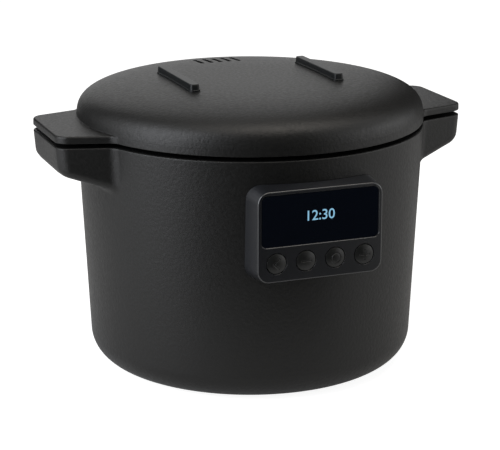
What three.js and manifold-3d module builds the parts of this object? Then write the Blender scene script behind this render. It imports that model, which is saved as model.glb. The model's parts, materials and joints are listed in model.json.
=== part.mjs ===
// Multicooker: an electric pot cooker with a lift-off lid, a removable inner pot and a control pod.
// Millimetres, +Z up. The feet stand on Z = 0 and the controls face -Y.
import * as THREE from "three";
import { mergeVertices } from "three/addons/utils/BufferGeometryUtils.js";
import Module from "manifold-3d";

const wasm = await Module();
wasm.setup();

// Clearances
const seat = 0.3; // left between pieces that rest on each other
const overrun = 5; // how far a cutting tool reaches past what it cuts

// Body shell, sized from the pot outwards
const standOff = 2; // underside of the body above the table
const bodyGap = 22; // from the pot's wall out to the body's surface at the top
const bodyTaper = 8.8; // how much narrower the body is at its foot
const footFillet = 23;
const footFlat = 8.2; // flat of the underside between fillet and mouth
const shellWall = 2.6;
const shellTopRound = 0.9;
const ledgeWidth = 5; // inner ledge that carries the collar
const ledgeThickness = 2.2;

// Ears, the same plan on the body and on the lid
const earLength = 29; // tip beyond the body's top radius
const earTipHalfWidth = 40.2;
const earRootHalfWidth = 51.2;
const earRootOverlap = 7; // how far inside the top radius the root width is measured
const earTipRound = 9;
const earRootFlare = 5;
const earTipDepth = 21.5; // body ear's height at its tip
const earRootDepth = 38; // and where it meets the body
const earLowerRound = 10; // long lower edges
const earNoseRound = 8; // lower edge at the tip
const earLean = 4.5; // degrees that the tip leans in on its way down
const earWall = 3.4;
const earRibWidth = 2;
const earRibSpacing = 26;
const earRibDrop = 4; // ribs end this far below the collar

// Collar ring between shell and pot
const collarThickness = 2.5;
const collarBorder = 2; // width of the shell edge left round the collar's ear plates
const collarGap = 1.6; // between the pot and the collar's bore
const skirtWall = 1.4;
const skirtDepth = 9;

// Inner pot
const potRadius = 118;
const potWall = 2;
const potDepth = 136;
const potDraft = 3;
const potFillet = 22;
const potRimWidth = 9;
const potRimThickness = 1.8;
const potRimRound = 0.8;

// Liner can round the pot
const linerWall = 1;
const linerFlangeGap = 3; // between the liner's flange and the shell's ledge
const linerFillet = 6;
const linerHoleGap = 4; // from the element's ring out to the hole in the liner's floor

// Heating plate, element and fuse
const plateInset = 25; // from the pot's foot in to the plate's edge
const plateThickness = 9;
const plateEdge = 2;
const sensorGap = 1.5; // between the sensor and its hole in the plate
const plateLegHeight = 4;
const plateLegRadius = 4;
const plateLegInset = 7; // from the plate's edge
const elementInset = 18; // from the plate's edge
const elementTubeRadius = 3.4;
const elementTerminalRadius = 2.1;
const elementTerminalLength = 9;
const elementTerminalTurn = 14; // degrees between ring's gap line and each terminal
const grooveShare = 0.75; // share of the tube's diameter that lies in the plate
const fuseRadius = 2.5;
const fuseLength = 18;
const fuseLeadLength = 7;
const fuseLeadRadius = 0.8;
const fuseGap = 13.2; // from the sensor holder's flange to the fuse
const clipWall = 0.8;
const clipWidth = 8;
const clipFoot = 5;

// Spring-loaded temperature sensor in the plate's centre
const sensorRadius = 15;
const sensorSkin = 2.2;
const sensorSkirtDepth = 9;
const sensorStemRadius = 4;
const sensorPlay = 1.3; // between the stem's collar and the holder above it
const sensorCollarRadius = 6.4;
const sensorCollarThickness = 1.4;
const holderWall = 1.3;
const holderDepth = 14;
const holderFlange = 7;
const springRadius = 8.6;
const springWireRadius = 0.7;
const springTurns = 4;

// Base tray, screws and feet
const trayFloor = 2.4;
const trayRecess = 0.6; // tray floor above the shell's underside
const trayRim = 2.4;
const postRadius = 4.5;
const postInset = 12; // from the shell's mouth
const postTurn = 20; // degrees from the X axis
const ventWidth = 3.2;
const ventPitch = 9;
const ventLength = 46;
const ventInset = 44; // from the shell's mouth to the slots' middle
const ventCount = 5;
const footRadius = 9;
const footStemRadius = 3.9;
const footInset = 16; // from the shell's mouth
const footBarb = 0.9;
const footRound = 1;
const baseScrewRadius = 1.5;
const baseScrewHeadRadius = 3.2;
const baseScrewHead = 1.1;
const baseScrewLength = 9;
const screwBossWall = 2.4;

// Power board with its parts
const boardPostGap = 16.2; // from the posts' surface to the board's edge
const boardRight = 18; // right edge from the axis
const boardHalfDepth = 28;
const boardThickness = 1.6;
const boardStandoff = 7;
const boardStandoffRadius = 3;
const boardStandoffInset = 5;
const partBevel = 0.6;
const transformerSize = [28, 24, 21];
const transformerInset = 21; // from the board's left edge
const transformerEdge = 16; // from its front edge
const coreDepthShare = 0.6; // of the transformer's depth
const coilWidthShare = 0.6; // of its width
const coilHeightShare = 0.7; // of its height
const relayWidth = 19;
const relayDepth = 15;
const relayHeight = 15.5;
const relayLeadGap = 1.3; // between the relay and the live lead
const relayEdge = 13.5; // from the board's back edge
const capacitorRadius = 6;
const capacitorHeight = 15;
const capacitorInset = 14; // from the board's right edge
const capacitorRibbonGap = 1; // between the capacitor and the ribbon's end
const capacitorFootShare = 0.125; // of its radius in the rounding at its foot
const capacitorTopShare = 0.16; // and at its top
const leadRadius = 1.4;
const leadInset = 3.6; // from the board's right edge to the first lead
const leadPitch = 11.2;
const leadRun = 8; // straight run at each end
const ribbonWidth = 14;
const ribbonThickness = 0.8;
const ribbonBend = 3;
const ribbonShare = 0.58; // height of the ribbon's exit, as a share of the pod's height
const ribbonLanding = 7; // length that lies on the power board

// Mains inlet at the back
const inletDrop = 1; // lower edge below the top of the foot's fillet
const inletLinerGap = 1; // upper edge below the liner
const inletHalfWidth = 14;
const inletHalfHeight = 10;
const inletWall = 2;
const inletProud = 1.5;
const inletDepth = 26;
const inletBack = 8;
const inletFlange = 3; // how much wider the flange is on each side
const inletFlangeThickness = 2;
const inletFlangeGap = 0.6; // between the flange and the shell's inner wall
const inletRound = 3;
const pinWidth = 2;
const pinHeight = 4;
const pinSpacing = 14;
const pinRise = 4.5; // earth pin above the other two
const pinDepth = 5.7; // tips below the inlet's face
const pinTail = 4;

// Control pod
const podProud = 8.4; // face plane beyond the body's top radius
const podDrop = 19.5; // upper edge below the body's top
const podRound = 9;
const podBevel = 1.1;
const podDraft = 2.4; // how much wider each side is at the back
const podWall = 2;
const podFront = 2.4;
const lensSideMargin = 2.8;
const lensHeight = 39.7;
const lensTopMargin = 2.9;
const lensRound = 4;
const lensThickness = 1.2;
const lensSink = 0.2;
const displayHalfWidth = 30;
const displayHeight = 26;
const displayBorder = 1.5;
const controlBoardThickness = 1.2;
const controlBoardGap = 0.7; // its front outside the body's top radius
const controlBoardMargin = 3.4;
const podBackDepth = 19.9;
const podBackWall = 1.8;
const podBackMargin = 6.7;
const podBackFlange = 3.5;
const podScrewInset = 10.7; // from the pod's side
const podScrewHeight = 33; // above the pod's lower edge
const podScrewRadius = 1.3;
const podScrewHeadRadius = 2.8;
const podScrewHead = 1.2;
const podBossRadius = 2.9;

// Buttons and their switches
const buttonNames = ["back_button", "minus_button", "start_button", "plus_button"];
const buttonRadius = 7.7;
const buttonRing = 0.5; // gap round a button
const buttonSpacing = 23.65;
const buttonSideMargin = 14.725; // from the outer buttons' centres to the pod's sides
const buttonLensMargin = 12.7; // from the buttons' centres up to the lens
const buttonHeight = 14.6; // centre above the pod's lower edge
const buttonCrown = 0.7;
const buttonShoulderShare = 0.85; // of the crown's height, half way out
const buttonEdge = 0.25;
const buttonFlange = 1.2;
const buttonFlangeThickness = 1;
const buttonNubRadius = 2;
const buttonNubLength = 0.4;
const buttonTravel = 0.8;
const buttonSlack = 0.2; // left to the switch after the travel
const switchHalfWidth = 3;
const plungerRadius = 1.4;
const plungerLength = 0.7;

// Lid
const lidGap = 3.6; // between the body's top and the lid's lower edge
const lidHeight = 33.7; // from the lower edge to the crown
const domeStart = 3.8; // the dome's curve starts this far below the lower edge
const domePower = 3.34; // of the radius in the dome's curve
const domeCrownPower = 4.39; // of the height in the dome's curve
const lidWall = 2.5;
const lidEarThickness = 5.7;
const lidEarBevel = 1.3;
const lidBossRadius = 4;
const lidBossInset = 26; // from the inner plate's edge
const lidEarOverlap = 21; // how far inside the lid's edge an ear starts
const innerPlateInset = 1; // from the pot rim's edge
const innerPlateWall = 1.2;
const innerPlateStep = 2.5;
const innerPlateStepInset = 34; // from the inner plate's edge
const innerPlateSlope = 6;
const gasketWidth = 11;
const gasketHeight = 4.8;
const gasketLip = 4;
const lidScrewRadius = 1.5;
const lidScrewHeadRadius = 3;
const lidScrewHead = 1.2;
const lidScrewLength = 11;

// Rails on the lid
const railInset = 79.4; // from the lid's edge
const railFront = 41;
const railBack = 37;
const railWidth = 9;
const railHeight = 5.3; // above the lid under the rail's middle
const railBevel = 1;
const railPegRadius = 2;
const railPegInset = 12;
const railPegLength = 1.6; // below the lid's wall

// Steam vent
const steamSlotCount = 5;
const steamSlotPitch = 8.1;
const steamSlotLength = 24.4;
const steamSlotWidth = 3.5;
const steamSlotInset = 61; // from the lid's edge to the slots' middle
const ventBoxWall = 1.5;
const ventBoxMargin = 3;
const ventBoxHoleRadius = 2.6;
const ventBoxHolePitch = 11;
const ventBoxHoleCount = 3;

// Facets
const roundSteps = 32;
const innerSteps = 20;
const buttonSteps = 14;
const smallSteps = 10;
const tinySteps = 8;
const screwSteps = 6;
const arcSteps = 3;
const smallRound = 2; // arcs of a smaller radius than this are one facet
const bevelSteps = 1;
const domeSteps = 7;
const innerDomeSteps = 4;
const domeCrowding = 1.3; // power that crowds the dome's steps near its edge
const springSteps = 8;
const springSides = 5;
const leadSteps = 8;
const weldDistance = 1e-4;
const sliverSize = 0.01; // edges shorter than this, left by a cut, are joined up

// Radii and places worked out from the sizes above, from the pot outwards
const bodyTopRadius = potRadius + bodyGap;
const bodyFootRadius = bodyTopRadius - bodyTaper;
const shellMouthRadius = bodyFootRadius - footFillet - footFlat;
const earReach = bodyTopRadius + earLength;
const earRootReach = bodyTopRadius - earRootOverlap;
const earTaper = (earRootHalfWidth - earTipHalfWidth) / (earReach - earRootReach);
const collarPlateInner = Math.sqrt((bodyTopRadius - shellWall) ** 2 - earRootHalfWidth ** 2) - ledgeWidth;
const collarBoreRadius = potRadius + collarGap;
const potRimRadius = potRadius + potRimWidth;
const linerBore = collarBoreRadius + skirtWall + seat;
const linerRadius = linerBore + linerWall;
const plateRadius = potRadius - potDraft - plateInset;
const plateLegPlace = plateRadius - plateLegInset;
const plateHoleRadius = sensorRadius + sensorGap;
const elementRingRadius = plateRadius - elementInset;
const linerHoleRadius = elementRingRadius + linerHoleGap;
const fusePlace = plateHoleRadius + holderWall + holderFlange + fuseGap;
const trayRadius = shellMouthRadius - seat;
const trayFlangeRadius = shellMouthRadius + footFlat;
const baseScrewPlace = shellMouthRadius + footFlat / 2;
const postPlace = shellMouthRadius - postInset;
const ventPlace = shellMouthRadius - ventInset;
const footPlace = shellMouthRadius - footInset;
const boardLeft = postRadius + boardPostGap - postPlace * Math.cos(THREE.MathUtils.degToRad(postTurn));
const neutralLandingX = boardRight - leadInset;
const liveLandingX = neutralLandingX - leadPitch;
const podReach = bodyTopRadius + podProud;
const podFace = -podReach;
const podHalfWidth = ((buttonNames.length - 1) * buttonSpacing) / 2 + buttonSideMargin;
const podScrewPlace = podHalfWidth - podScrewInset;
const lensHalfWidth = podHalfWidth - lensSideMargin;
const controlBoardDepth = podProud - controlBoardGap;
const boardFront = podFace + controlBoardDepth;
const controlBoardRear = boardFront + controlBoardThickness;
const podBackRear = podFace + podBackDepth;
const lidRadius = bodyTopRadius;
const innerPlateRadius = potRimRadius - innerPlateInset;
const innerPlateStepRadius = innerPlateRadius - innerPlateStepInset;
const lidBossPlace = innerPlateRadius - lidBossInset;
const railPlace = lidRadius - railInset;
const steamSlotPlace = lidRadius - steamSlotInset;

// Heights worked out from the table upwards
const trayUnder = standOff + trayRecess;
const trayTop = trayUnder + trayFloor;
const trayFlangeUnder = standOff + shellWall + seat;
const trayFlangeTop = trayFlangeUnder + trayRim;
const boardUnder = trayTop + boardStandoff + seat;
const boardTop = boardUnder + boardThickness;
const inletLow = standOff + footFillet - inletDrop;
const inletHeight = inletLow + inletHalfHeight;
const inletHigh = inletHeight + inletHalfHeight;
const linerFloorUnder = inletHigh + inletLinerGap;
const linerFloorTop = linerFloorUnder + linerWall;
const plateUnder = linerFloorTop + seat + plateLegHeight;
const plateTop = plateUnder + plateThickness;
const holderTop = plateUnder - seat;
const holderUnder = holderTop - holderDepth;
const sensorStemUnder = holderUnder - sensorPlay - sensorCollarThickness;
const potBottom = plateTop + seat;
const potRimUnder = potBottom + potDepth;
const potRimTop = potRimUnder + potRimThickness;
const bodyTop = potRimUnder - seat;
const bodyHeight = bodyTop - standOff;
const collarUnder = bodyTop - collarThickness;
const ledgeTop = collarUnder - seat;
const ledgeUnder = ledgeTop - ledgeThickness;
const podHigh = bodyTop - podDrop;
const lensHigh = podHigh - lensTopMargin;
const lensLow = lensHigh - lensHeight;
const displayMiddle = (lensLow + lensHigh) / 2;
const buttonZ = lensLow - buttonLensMargin;
const podLow = buttonZ - buttonHeight;
const podScrewZ = podLow + podScrewHeight;
const ribbonHigh = podLow + (podHigh - podLow) * ribbonShare;
const lidEdge = bodyTop + lidGap;
const domeBase = lidEdge - domeStart;
const domeRise = lidHeight + domeStart;
const gasketUnder = potRimTop + seat;
const gasketTop = gasketUnder + gasketHeight;
const innerPlateUnder = gasketTop + seat;
const innerPlateTop = innerPlateUnder + innerPlateWall;
const innerPlateRaisedTop = innerPlateTop + innerPlateStep;

// Places that repeat round the axis or along a row, angles in degrees
const quarterAngles = [45, 135, 225, 315];
const legAngles = [0, 90, 180, 270];
const postAngles = [postTurn, 180 - postTurn, 180 + postTurn, -postTurn];
const terminalAngles = [180 + elementTerminalTurn, 180 - elementTerminalTurn];
const podScrewPlaces = [-podScrewPlace, podScrewPlace];
const railPlaces = [-railPlace, railPlace];
const pegPlaces = [-railFront + railPegInset, railBack - railPegInset];
const buttonPlaces = buttonNames.map((name, place) => {
  return [name, (place - (buttonNames.length - 1) / 2) * buttonSpacing];
});

// The body's outer radius at a height, along its straight taper.
function bodyRadiusAt(height) {
  return bodyFootRadius + ((bodyTopRadius - bodyFootRadius) * (height - standOff)) / bodyHeight;
}

// The lid's outer height at a radius, or its inner height when it is drawn in by the wall.
function domeHeightAt(radius, inset) {
  const share = Math.min(1, radius / (lidRadius - inset));
  return domeBase + (domeRise - inset) * (1 - share ** domePower) ** (1 / domeCrownPower);
}

// An outline whose corners, each [x, y, radius], are rounded by arcs.
function rounded(corners, steps = arcSteps) {
  const outline = [];
  corners.forEach(([x, y, radius = 0], place) => {
    const corner = new THREE.Vector2(x, y);
    if (radius <= 0) {
      outline.push(corner);
      return;
    }
    const before = corners[(place + corners.length - 1) % corners.length];
    const after = corners[(place + 1) % corners.length];
    const back = new THREE.Vector2(before[0], before[1]).sub(corner).normalize();
    const ahead = new THREE.Vector2(after[0], after[1]).sub(corner).normalize();
    const half = Math.acos(THREE.MathUtils.clamp(back.dot(ahead), -1, 1)) / 2;
    const inward = back.clone().add(ahead).normalize();
    const centre = corner.clone().addScaledVector(inward, radius / Math.sin(half));
    const start = corner.clone().addScaledVector(back, radius / Math.tan(half));
    const end = corner.clone().addScaledVector(ahead, radius / Math.tan(half));
    const from = start.sub(centre).angle();
    let turn = end.sub(centre).angle() - from;
    if (turn > Math.PI) turn -= 2 * Math.PI;
    if (turn < -Math.PI) turn += 2 * Math.PI;
    const count = radius < smallRound ? 1 : steps;
    for (let step = 0; step <= count; step++) {
      const angle = from + (turn * step) / count;
      const spoke = new THREE.Vector2(Math.cos(angle), Math.sin(angle));
      outline.push(centre.clone().addScaledVector(spoke, radius));
    }
  });
  return outline.filter((point, place) => {
    const next = outline[(place + 1) % outline.length];
    return point.distanceTo(next) > weldDistance;
  });
}

// A rectangle's corners, each rounded by the same radius.
function rectangle(xLow, yLow, xHigh, yHigh, radius = 0) {
  return [
    [xLow, yLow, radius],
    [xHigh, yLow, radius],
    [xHigh, yHigh, radius],
    [xLow, yHigh, radius],
  ];
}

// A geometry as a solid: shared corners are joined, slivers dropped and faces turned outwards.
function solid(geometry) {
  const bare = geometry.clone();
  bare.deleteAttribute("normal");
  bare.deleteAttribute("uv");
  const merged = mergeVertices(bare, weldDistance);
  const corners = merged.index.array;
  const points = merged.attributes.position;
  const a = new THREE.Vector3();
  const b = new THREE.Vector3();
  const c = new THREE.Vector3();
  const faces = [];
  let volume = 0;
  for (let i = 0; i < corners.length; i += 3) {
    const [p, q, r] = corners.slice(i, i + 3);
    if (p === q || q === r || r === p) continue;
    faces.push([p, q, r]);
    a.fromBufferAttribute(points, p);
    b.fromBufferAttribute(points, q);
    c.fromBufferAttribute(points, r);
    volume += a.dot(b.cross(c));
  }
  const triVerts = new Uint32Array(faces.flatMap(([p, q, r]) => (volume < 0 ? [p, r, q] : [p, q, r])));
  return new wasm.Manifold(new wasm.Mesh({ numProp: 3, vertProperties: points.array, triVerts }));
}

// A closed outline of [radius, height, rounding] corners, turned about the Z axis.
function turned(corners, steps = roundSteps, roundness = arcSteps) {
  const outline = rounded(corners, roundness);
  const lathe = new THREE.LatheGeometry([...outline, outline[0]], steps);
  return lathe.rotateX(Math.PI / 2);
}

// A flat outline drawn in X and Y, raised from one height to another.
function raised(corners, low, high, steps = arcSteps) {
  const shape = new THREE.Shape(rounded(corners, steps));
  const slab = new THREE.ExtrudeGeometry(shape, { depth: high - low, bevelEnabled: false });
  return slab.translate(0, 0, low);
}

// The same with both rims bevelled inwards.
function bevelled(corners, low, high, bevel, steps = arcSteps) {
  const shape = new THREE.Shape(rounded(corners, steps));
  const slab = new THREE.ExtrudeGeometry(shape, {
    depth: high - low - 2 * bevel,
    bevelThickness: bevel,
    bevelSize: bevel,
    bevelOffset: -bevel,
    bevelSegments: bevelSteps,
  });
  return slab.translate(0, 0, low + bevel);
}

// A flat outline drawn in X and Z, carried along Y.
function alongY(corners, front, back, steps = arcSteps) {
  return raised(corners, -back, -front, steps).rotateX(Math.PI / 2);
}

// A flat outline drawn in Y and Z, carried along X.
function alongX(corners, low, high, steps = arcSteps) {
  return raised(corners, low, high, steps).rotateX(Math.PI / 2).rotateZ(Math.PI / 2);
}

// A box between two corners.
function box(low, high) {
  const size = high.map((value, axis) => value - low[axis]);
  const middle = high.map((value, axis) => (value + low[axis]) / 2);
  return new THREE.BoxGeometry(...size).translate(...middle);
}

// An upright cylinder.
function rod(radius, low, high, x = 0, y = 0, steps = smallSteps) {
  const cylinder = new THREE.CylinderGeometry(radius, radius, high - low, steps);
  return cylinder.rotateX(Math.PI / 2).translate(x, y, (low + high) / 2);
}

// A turned piece whose axis points out of the pod's face, with height measured from that face.
function outOfFace(geometry, x, z) {
  return geometry.rotateX(Math.PI / 2).translate(x, podFace, z);
}

// A skin through rings of points, closed by a flat cap at each end.
function loft(rings) {
  const count = rings[0].length;
  const faces = [];
  rings.slice(1).forEach((ring, place) => {
    ring.forEach((point, i) => {
      const here = place * count + i;
      const beside = place * count + ((i + 1) % count);
      faces.push(here, beside, here + count, beside, beside + count, here + count);
    });
  });
  const last = (rings.length - 1) * count;
  for (let i = 1; i + 1 < count; i++) {
    faces.push(0, i + 1, i, last, last + i, last + i + 1);
  }
  const skin = new THREE.BufferGeometry().setFromPoints(rings.flat());
  skin.setIndex(faces);
  return skin;
}

function join(...parts) {
  return parts.reduce((whole, part) => whole.add(part));
}

function cut(whole, ...tools) {
  return tools.reduce((left, tool) => left.subtract(tool), whole);
}

// The same solid once for each place round the axis, turned by the angles in degrees.
function around(makeGeometry, angles) {
  return angles.map((angle) => solid(makeGeometry().rotateZ(THREE.MathUtils.degToRad(angle))));
}

// A solid on the +X side with its mirror image on the -X side.
function bothSides(makeGeometry) {
  return [solid(makeGeometry()), solid(makeGeometry().scale(-1, 1, 1))];
}

const materials = {
  shell: { color: 0x262626, roughness: 0.62 },
  moulding: { color: 0x1d1d1f, roughness: 0.55 },
  lens: { color: 0x06080b, roughness: 0.08 },
  button: { color: 0x333433, roughness: 0.5 },
  pot: { color: 0x3a3b3c, roughness: 0.4, metalness: 0.6 },
  steel: { color: 0xb9bcc0, roughness: 0.35, metalness: 0.9 },
  castAluminium: { color: 0xa6a9ac, roughness: 0.5, metalness: 0.85 },
  zinc: { color: 0xc9ccd0, roughness: 0.3, metalness: 1 },
  silicone: { color: 0x8b8f90, roughness: 0.7 },
  rubber: { color: 0x161616, roughness: 0.9 },
  board: { color: 0x1f5a36, roughness: 0.5 },
  component: { color: 0x26303d, roughness: 0.5 },
  copper: { color: 0xb87445, roughness: 0.4, metalness: 0.8 },
  wire: { color: 0xc9c4b4, roughness: 0.6 },
  brass: { color: 0xc2a25a, roughness: 0.3, metalness: 1 },
};

const multicooker = new THREE.Group();

// One named mesh for each physical piece.
function piece(name, body, look) {
  const mesh = body.asOriginal().simplify(sliverSize).getMesh();
  const geometry = new THREE.BufferGeometry();
  geometry.setAttribute("position", new THREE.BufferAttribute(mesh.vertProperties, 3));
  geometry.setIndex(new THREE.BufferAttribute(mesh.triVerts, 1));
  geometry.computeVertexNormals();
  const shown = new THREE.Mesh(geometry, new THREE.MeshStandardMaterial(materials[look]));
  shown.name = name;
  multicooker.add(shown);
}

// The body's taper as a filled solid, offset from the outer surface.
function taperSolid(offset) {
  const low = standOff - overrun;
  const high = bodyTop + overrun;
  return solid(
    turned([
      [0, low],
      [bodyRadiusAt(low) + offset, low],
      [bodyRadiusAt(high) + offset, high],
      [0, high],
    ]),
  );
}

// The ears' half width at a distance from the axis.
function earHalfWidthAt(x) {
  return earTipHalfWidth + (earReach - x) * earTaper;
}

// The ears' plan on the +X side, drawn in from its edges by an inset.
function earPlan(inset, inner) {
  const tip = earReach - inset;
  const sideInset = inset * Math.hypot(1, earTaper);
  const tipWidth = earHalfWidthAt(tip) - sideInset;
  const innerWidth = earHalfWidthAt(inner) - sideInset;
  return [
    [inner, -innerWidth],
    [tip, -tipWidth, earTipRound - inset],
    [tip, tipWidth, earTipRound - inset],
    [inner, innerWidth],
  ];
}

// A body ear as sections square to X, all drawn in by an inset. Its underside rises to a rounded nose.
function bodyEar(inset, top) {
  const reach = earReach - inset;
  const rise = (earRootDepth - earTipDepth) / (reach - earRootReach);
  const undersideAt = (x) => bodyTop - earRootDepth + inset + (x - earRootReach) * rise;
  const nose = Math.max(earNoseRound - inset, inset);
  const noseX = reach - nose;
  const noseZ = undersideAt(noseX) + nose * Math.hypot(1, rise);
  const corner = Math.max(earTipRound - inset, inset);
  const cornerX = reach - corner;
  const sideInset = inset * Math.hypot(1, earTaper);
  const cornerY = earHalfWidthAt(cornerX) - sideInset - corner * Math.hypot(1, earTaper);
  const lower = earLowerRound - inset;
  const rootX = Math.sqrt(bodyTopRadius ** 2 - earRootHalfWidth ** 2);
  const flareShares = inset > 0 ? [0] : [0, 0.3, 1];
  const flareStations = flareShares.map((share) => rootX + share * earRootFlare);
  const tipShares = inset > 0 ? [-1.2, 0, 0.7, 1] : [-1.2, 0, 0.5, 0.85, 1];
  const tipStations = tipShares.map((share) => noseX + share * nose);
  const stations = [rootX - earRootOverlap, ...flareStations, ...tipStations];
  const lean = Math.tan(THREE.MathUtils.degToRad(earLean));
  return loft(
    stations.map((x) => {
      const away = Math.min(Math.max(x - rootX, 0), earRootFlare);
      const bow = Math.sqrt(earRootFlare ** 2 - (earRootFlare - away) ** 2);
      const flare = inset > 0 ? 0 : earRootFlare - bow;
      const onCorner = x > cornerX + corner * Math.sin(Math.atan(earTaper));
      const bend = Math.sqrt(Math.max(corner ** 2 - (x - cornerX) ** 2, 0));
      const width = onCorner ? cornerY + bend : earHalfWidthAt(x) - sideInset + flare;
      const onNose = x > noseX + nose * Math.sin(Math.atan(rise));
      const drop = Math.sqrt(Math.max(nose ** 2 - (x - noseX) ** 2, 0));
      const under = onNose ? noseZ - drop : undersideAt(x);
      const section = [
        [-width, top],
        [-width, under, lower],
        [width, under, lower],
        [width, top],
      ];
      const corners = rounded(section, inset > 0 ? 1 : arcSteps);
      return corners.map((p) => new THREE.Vector3(x - lean * (bodyTop - p.y), p.x, p.y));
    }),
  );
}

// The moulded outer shell: a tapered wall with a foot fillet, hollow ribbed ears and an inner ledge.
function outerShell() {
  const innerAt = (height) => bodyRadiusAt(height) - shellWall;
  const lipTop = standOff + shellWall;
  const wall = solid(
    turned([
      [shellMouthRadius, standOff],
      [bodyRadiusAt(standOff), standOff, footFillet],
      [bodyTopRadius, bodyTop, shellTopRound],
      [innerAt(bodyTop), bodyTop],
      [innerAt(ledgeTop), ledgeTop],
      [innerAt(ledgeTop) - ledgeWidth, ledgeTop],
      [innerAt(ledgeTop) - ledgeWidth, ledgeUnder],
      [innerAt(ledgeUnder), ledgeUnder],
      [innerAt(lipTop), lipTop, footFillet - shellWall],
      [shellMouthRadius, lipTop],
    ]),
  );
  const ears = bothSides(() => bodyEar(0, bodyTop)).map((ear) => ear.subtract(taperSolid(-shellWall)));
  const ribs = [-1, 1].map((side) =>
    solid(
      box(
        [-earReach, (side * earRibSpacing - earRibWidth) / 2, standOff],
        [earReach, (side * earRibSpacing + earRibWidth) / 2, ledgeTop - earRibDrop],
      ),
    ),
  );
  const pockets = bothSides(() => bodyEar(earWall, bodyTop + overrun)).map((pocket) =>
    cut(pocket, taperSolid(0), ...ribs),
  );
  const rebates = bothSides(() =>
    raised(earPlan(collarBorder - seat, collarPlateInner - seat), ledgeTop, bodyTop + overrun),
  );
  const window = solid(
    box(
      [-podHalfWidth + podBackMargin - seat, -bodyTopRadius - overrun, podLow + podBackMargin - seat],
      [podHalfWidth - podBackMargin + seat, 0, podHigh - podBackMargin + seat],
    ),
  );
  const inletHole = solid(
    alongY(
      rectangle(
        -inletHalfWidth - seat,
        inletLow - seat,
        inletHalfWidth + seat,
        inletHigh + seat,
        inletRound + seat,
      ),
      0,
      bodyTopRadius + overrun,
    ),
  );
  const screwHoles = around(
    () => rod(baseScrewRadius + seat, standOff - overrun, lipTop + overrun, baseScrewPlace, 0, tinySteps),
    quarterAngles,
  );
  const counterbores = around(
    () => rod(baseScrewHeadRadius + seat, standOff - overrun, standOff + baseScrewHead, baseScrewPlace),
    quarterAngles,
  );
  const openings = [...pockets, ...rebates, window, inletHole, ...screwHoles, ...counterbores];
  return cut(join(wall, ...ears), ...openings);
}

// The collar: a flat ring with plates that close the ears, and a skirt that centres the liner.
function topCollar() {
  const outer = bodyTopRadius - shellWall - seat;
  const ring = solid(
    turned([
      [collarBoreRadius, collarUnder - skirtDepth],
      [collarBoreRadius + skirtWall, collarUnder - skirtDepth],
      [collarBoreRadius + skirtWall, collarUnder],
      [bodyRadiusAt(collarUnder) - shellWall - seat, collarUnder],
      [outer, bodyTop],
      [collarBoreRadius, bodyTop, shellTopRound],
    ], roundSteps, 1),
  );
  const plates = bothSides(() => raised(earPlan(collarBorder, collarPlateInner), collarUnder, bodyTop));
  return join(ring, ...plates);
}

function innerPot() {
  const low = potRadius - potDraft;
  return solid(
    turned([
      [0, potBottom],
      [low, potBottom, potFillet],
      [potRadius, potRimUnder],
      [potRimRadius, potRimUnder, potRimRound],
      [potRimRadius, potRimTop, potRimRound],
      [potRadius - potWall, potRimTop, potRimRound],
      [low - potWall, potBottom + potWall, potFillet - potWall],
      [0, potBottom + potWall],
    ]),
  );
}

function innerLiner() {
  const flangeRadius = bodyRadiusAt(ledgeTop) - shellWall - ledgeWidth - linerFlangeGap;
  return solid(
    turned([
      [linerHoleRadius, linerFloorUnder],
      [linerRadius, linerFloorUnder, linerFillet],
      [linerRadius, ledgeTop - linerWall],
      [flangeRadius, ledgeTop - linerWall],
      [flangeRadius, ledgeTop],
      [linerBore, ledgeTop],
      [linerBore, linerFloorTop, linerFillet - linerWall],
      [linerHoleRadius, linerFloorTop],
    ], roundSteps, 1),
  );
}

// The cast heating plate, with a groove for its element below and four legs.
function heatingPlate() {
  const groove = elementTubeRadius + seat;
  const grooveTop = plateUnder + 2 * elementTubeRadius * grooveShare + seat;
  const disc = solid(
    turned([
      [plateHoleRadius, plateUnder],
      [elementRingRadius - groove, plateUnder],
      [elementRingRadius - groove, grooveTop, groove / 2],
      [elementRingRadius + groove, grooveTop, groove / 2],
      [elementRingRadius + groove, plateUnder],
      [plateRadius, plateUnder, plateEdge],
      [plateRadius, plateTop, plateEdge],
      [plateHoleRadius, plateTop, plateEdge / 2],
    ], innerSteps, 1),
  );
  const legs = around(
    () => rod(plateLegRadius, linerFloorTop + seat, plateUnder + plateEdge, plateLegPlace, 0, tinySteps),
    legAngles,
  );
  return join(disc, ...legs);
}

// The tubular element, pressed into the groove, with two terminals that point down.
function heatingElement() {
  const middle = plateUnder + 2 * elementTubeRadius * grooveShare - elementTubeRadius;
  const section = new THREE.Shape().absarc(elementRingRadius, middle, elementTubeRadius, 0, 2 * Math.PI);
  const outline = section.getPoints(arcSteps).slice(1);
  const ring = solid(new THREE.LatheGeometry([...outline, outline[0]], innerSteps).rotateX(Math.PI / 2));
  const low = middle - elementTerminalLength;
  const terminals = around(
    () => rod(elementTerminalRadius, low, middle, elementRingRadius, 0, tinySteps),
    terminalAngles,
  );
  return join(ring, ...terminals);
}

function thermalFuse() {
  const height = plateUnder - seat - clipWall - seat - fuseRadius;
  const can = rod(fuseRadius, -fuseLength / 2, fuseLength / 2, 0, 0, tinySteps);
  const half = fuseLength / 2 + fuseLeadLength;
  const leads = rod(fuseLeadRadius, -half, half, 0, 0, tinySteps);
  const whole = join(solid(can.rotateX(Math.PI / 2)), solid(leads.rotateX(Math.PI / 2)));
  return whole.translate([fusePlace, 0, height]);
}

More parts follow.
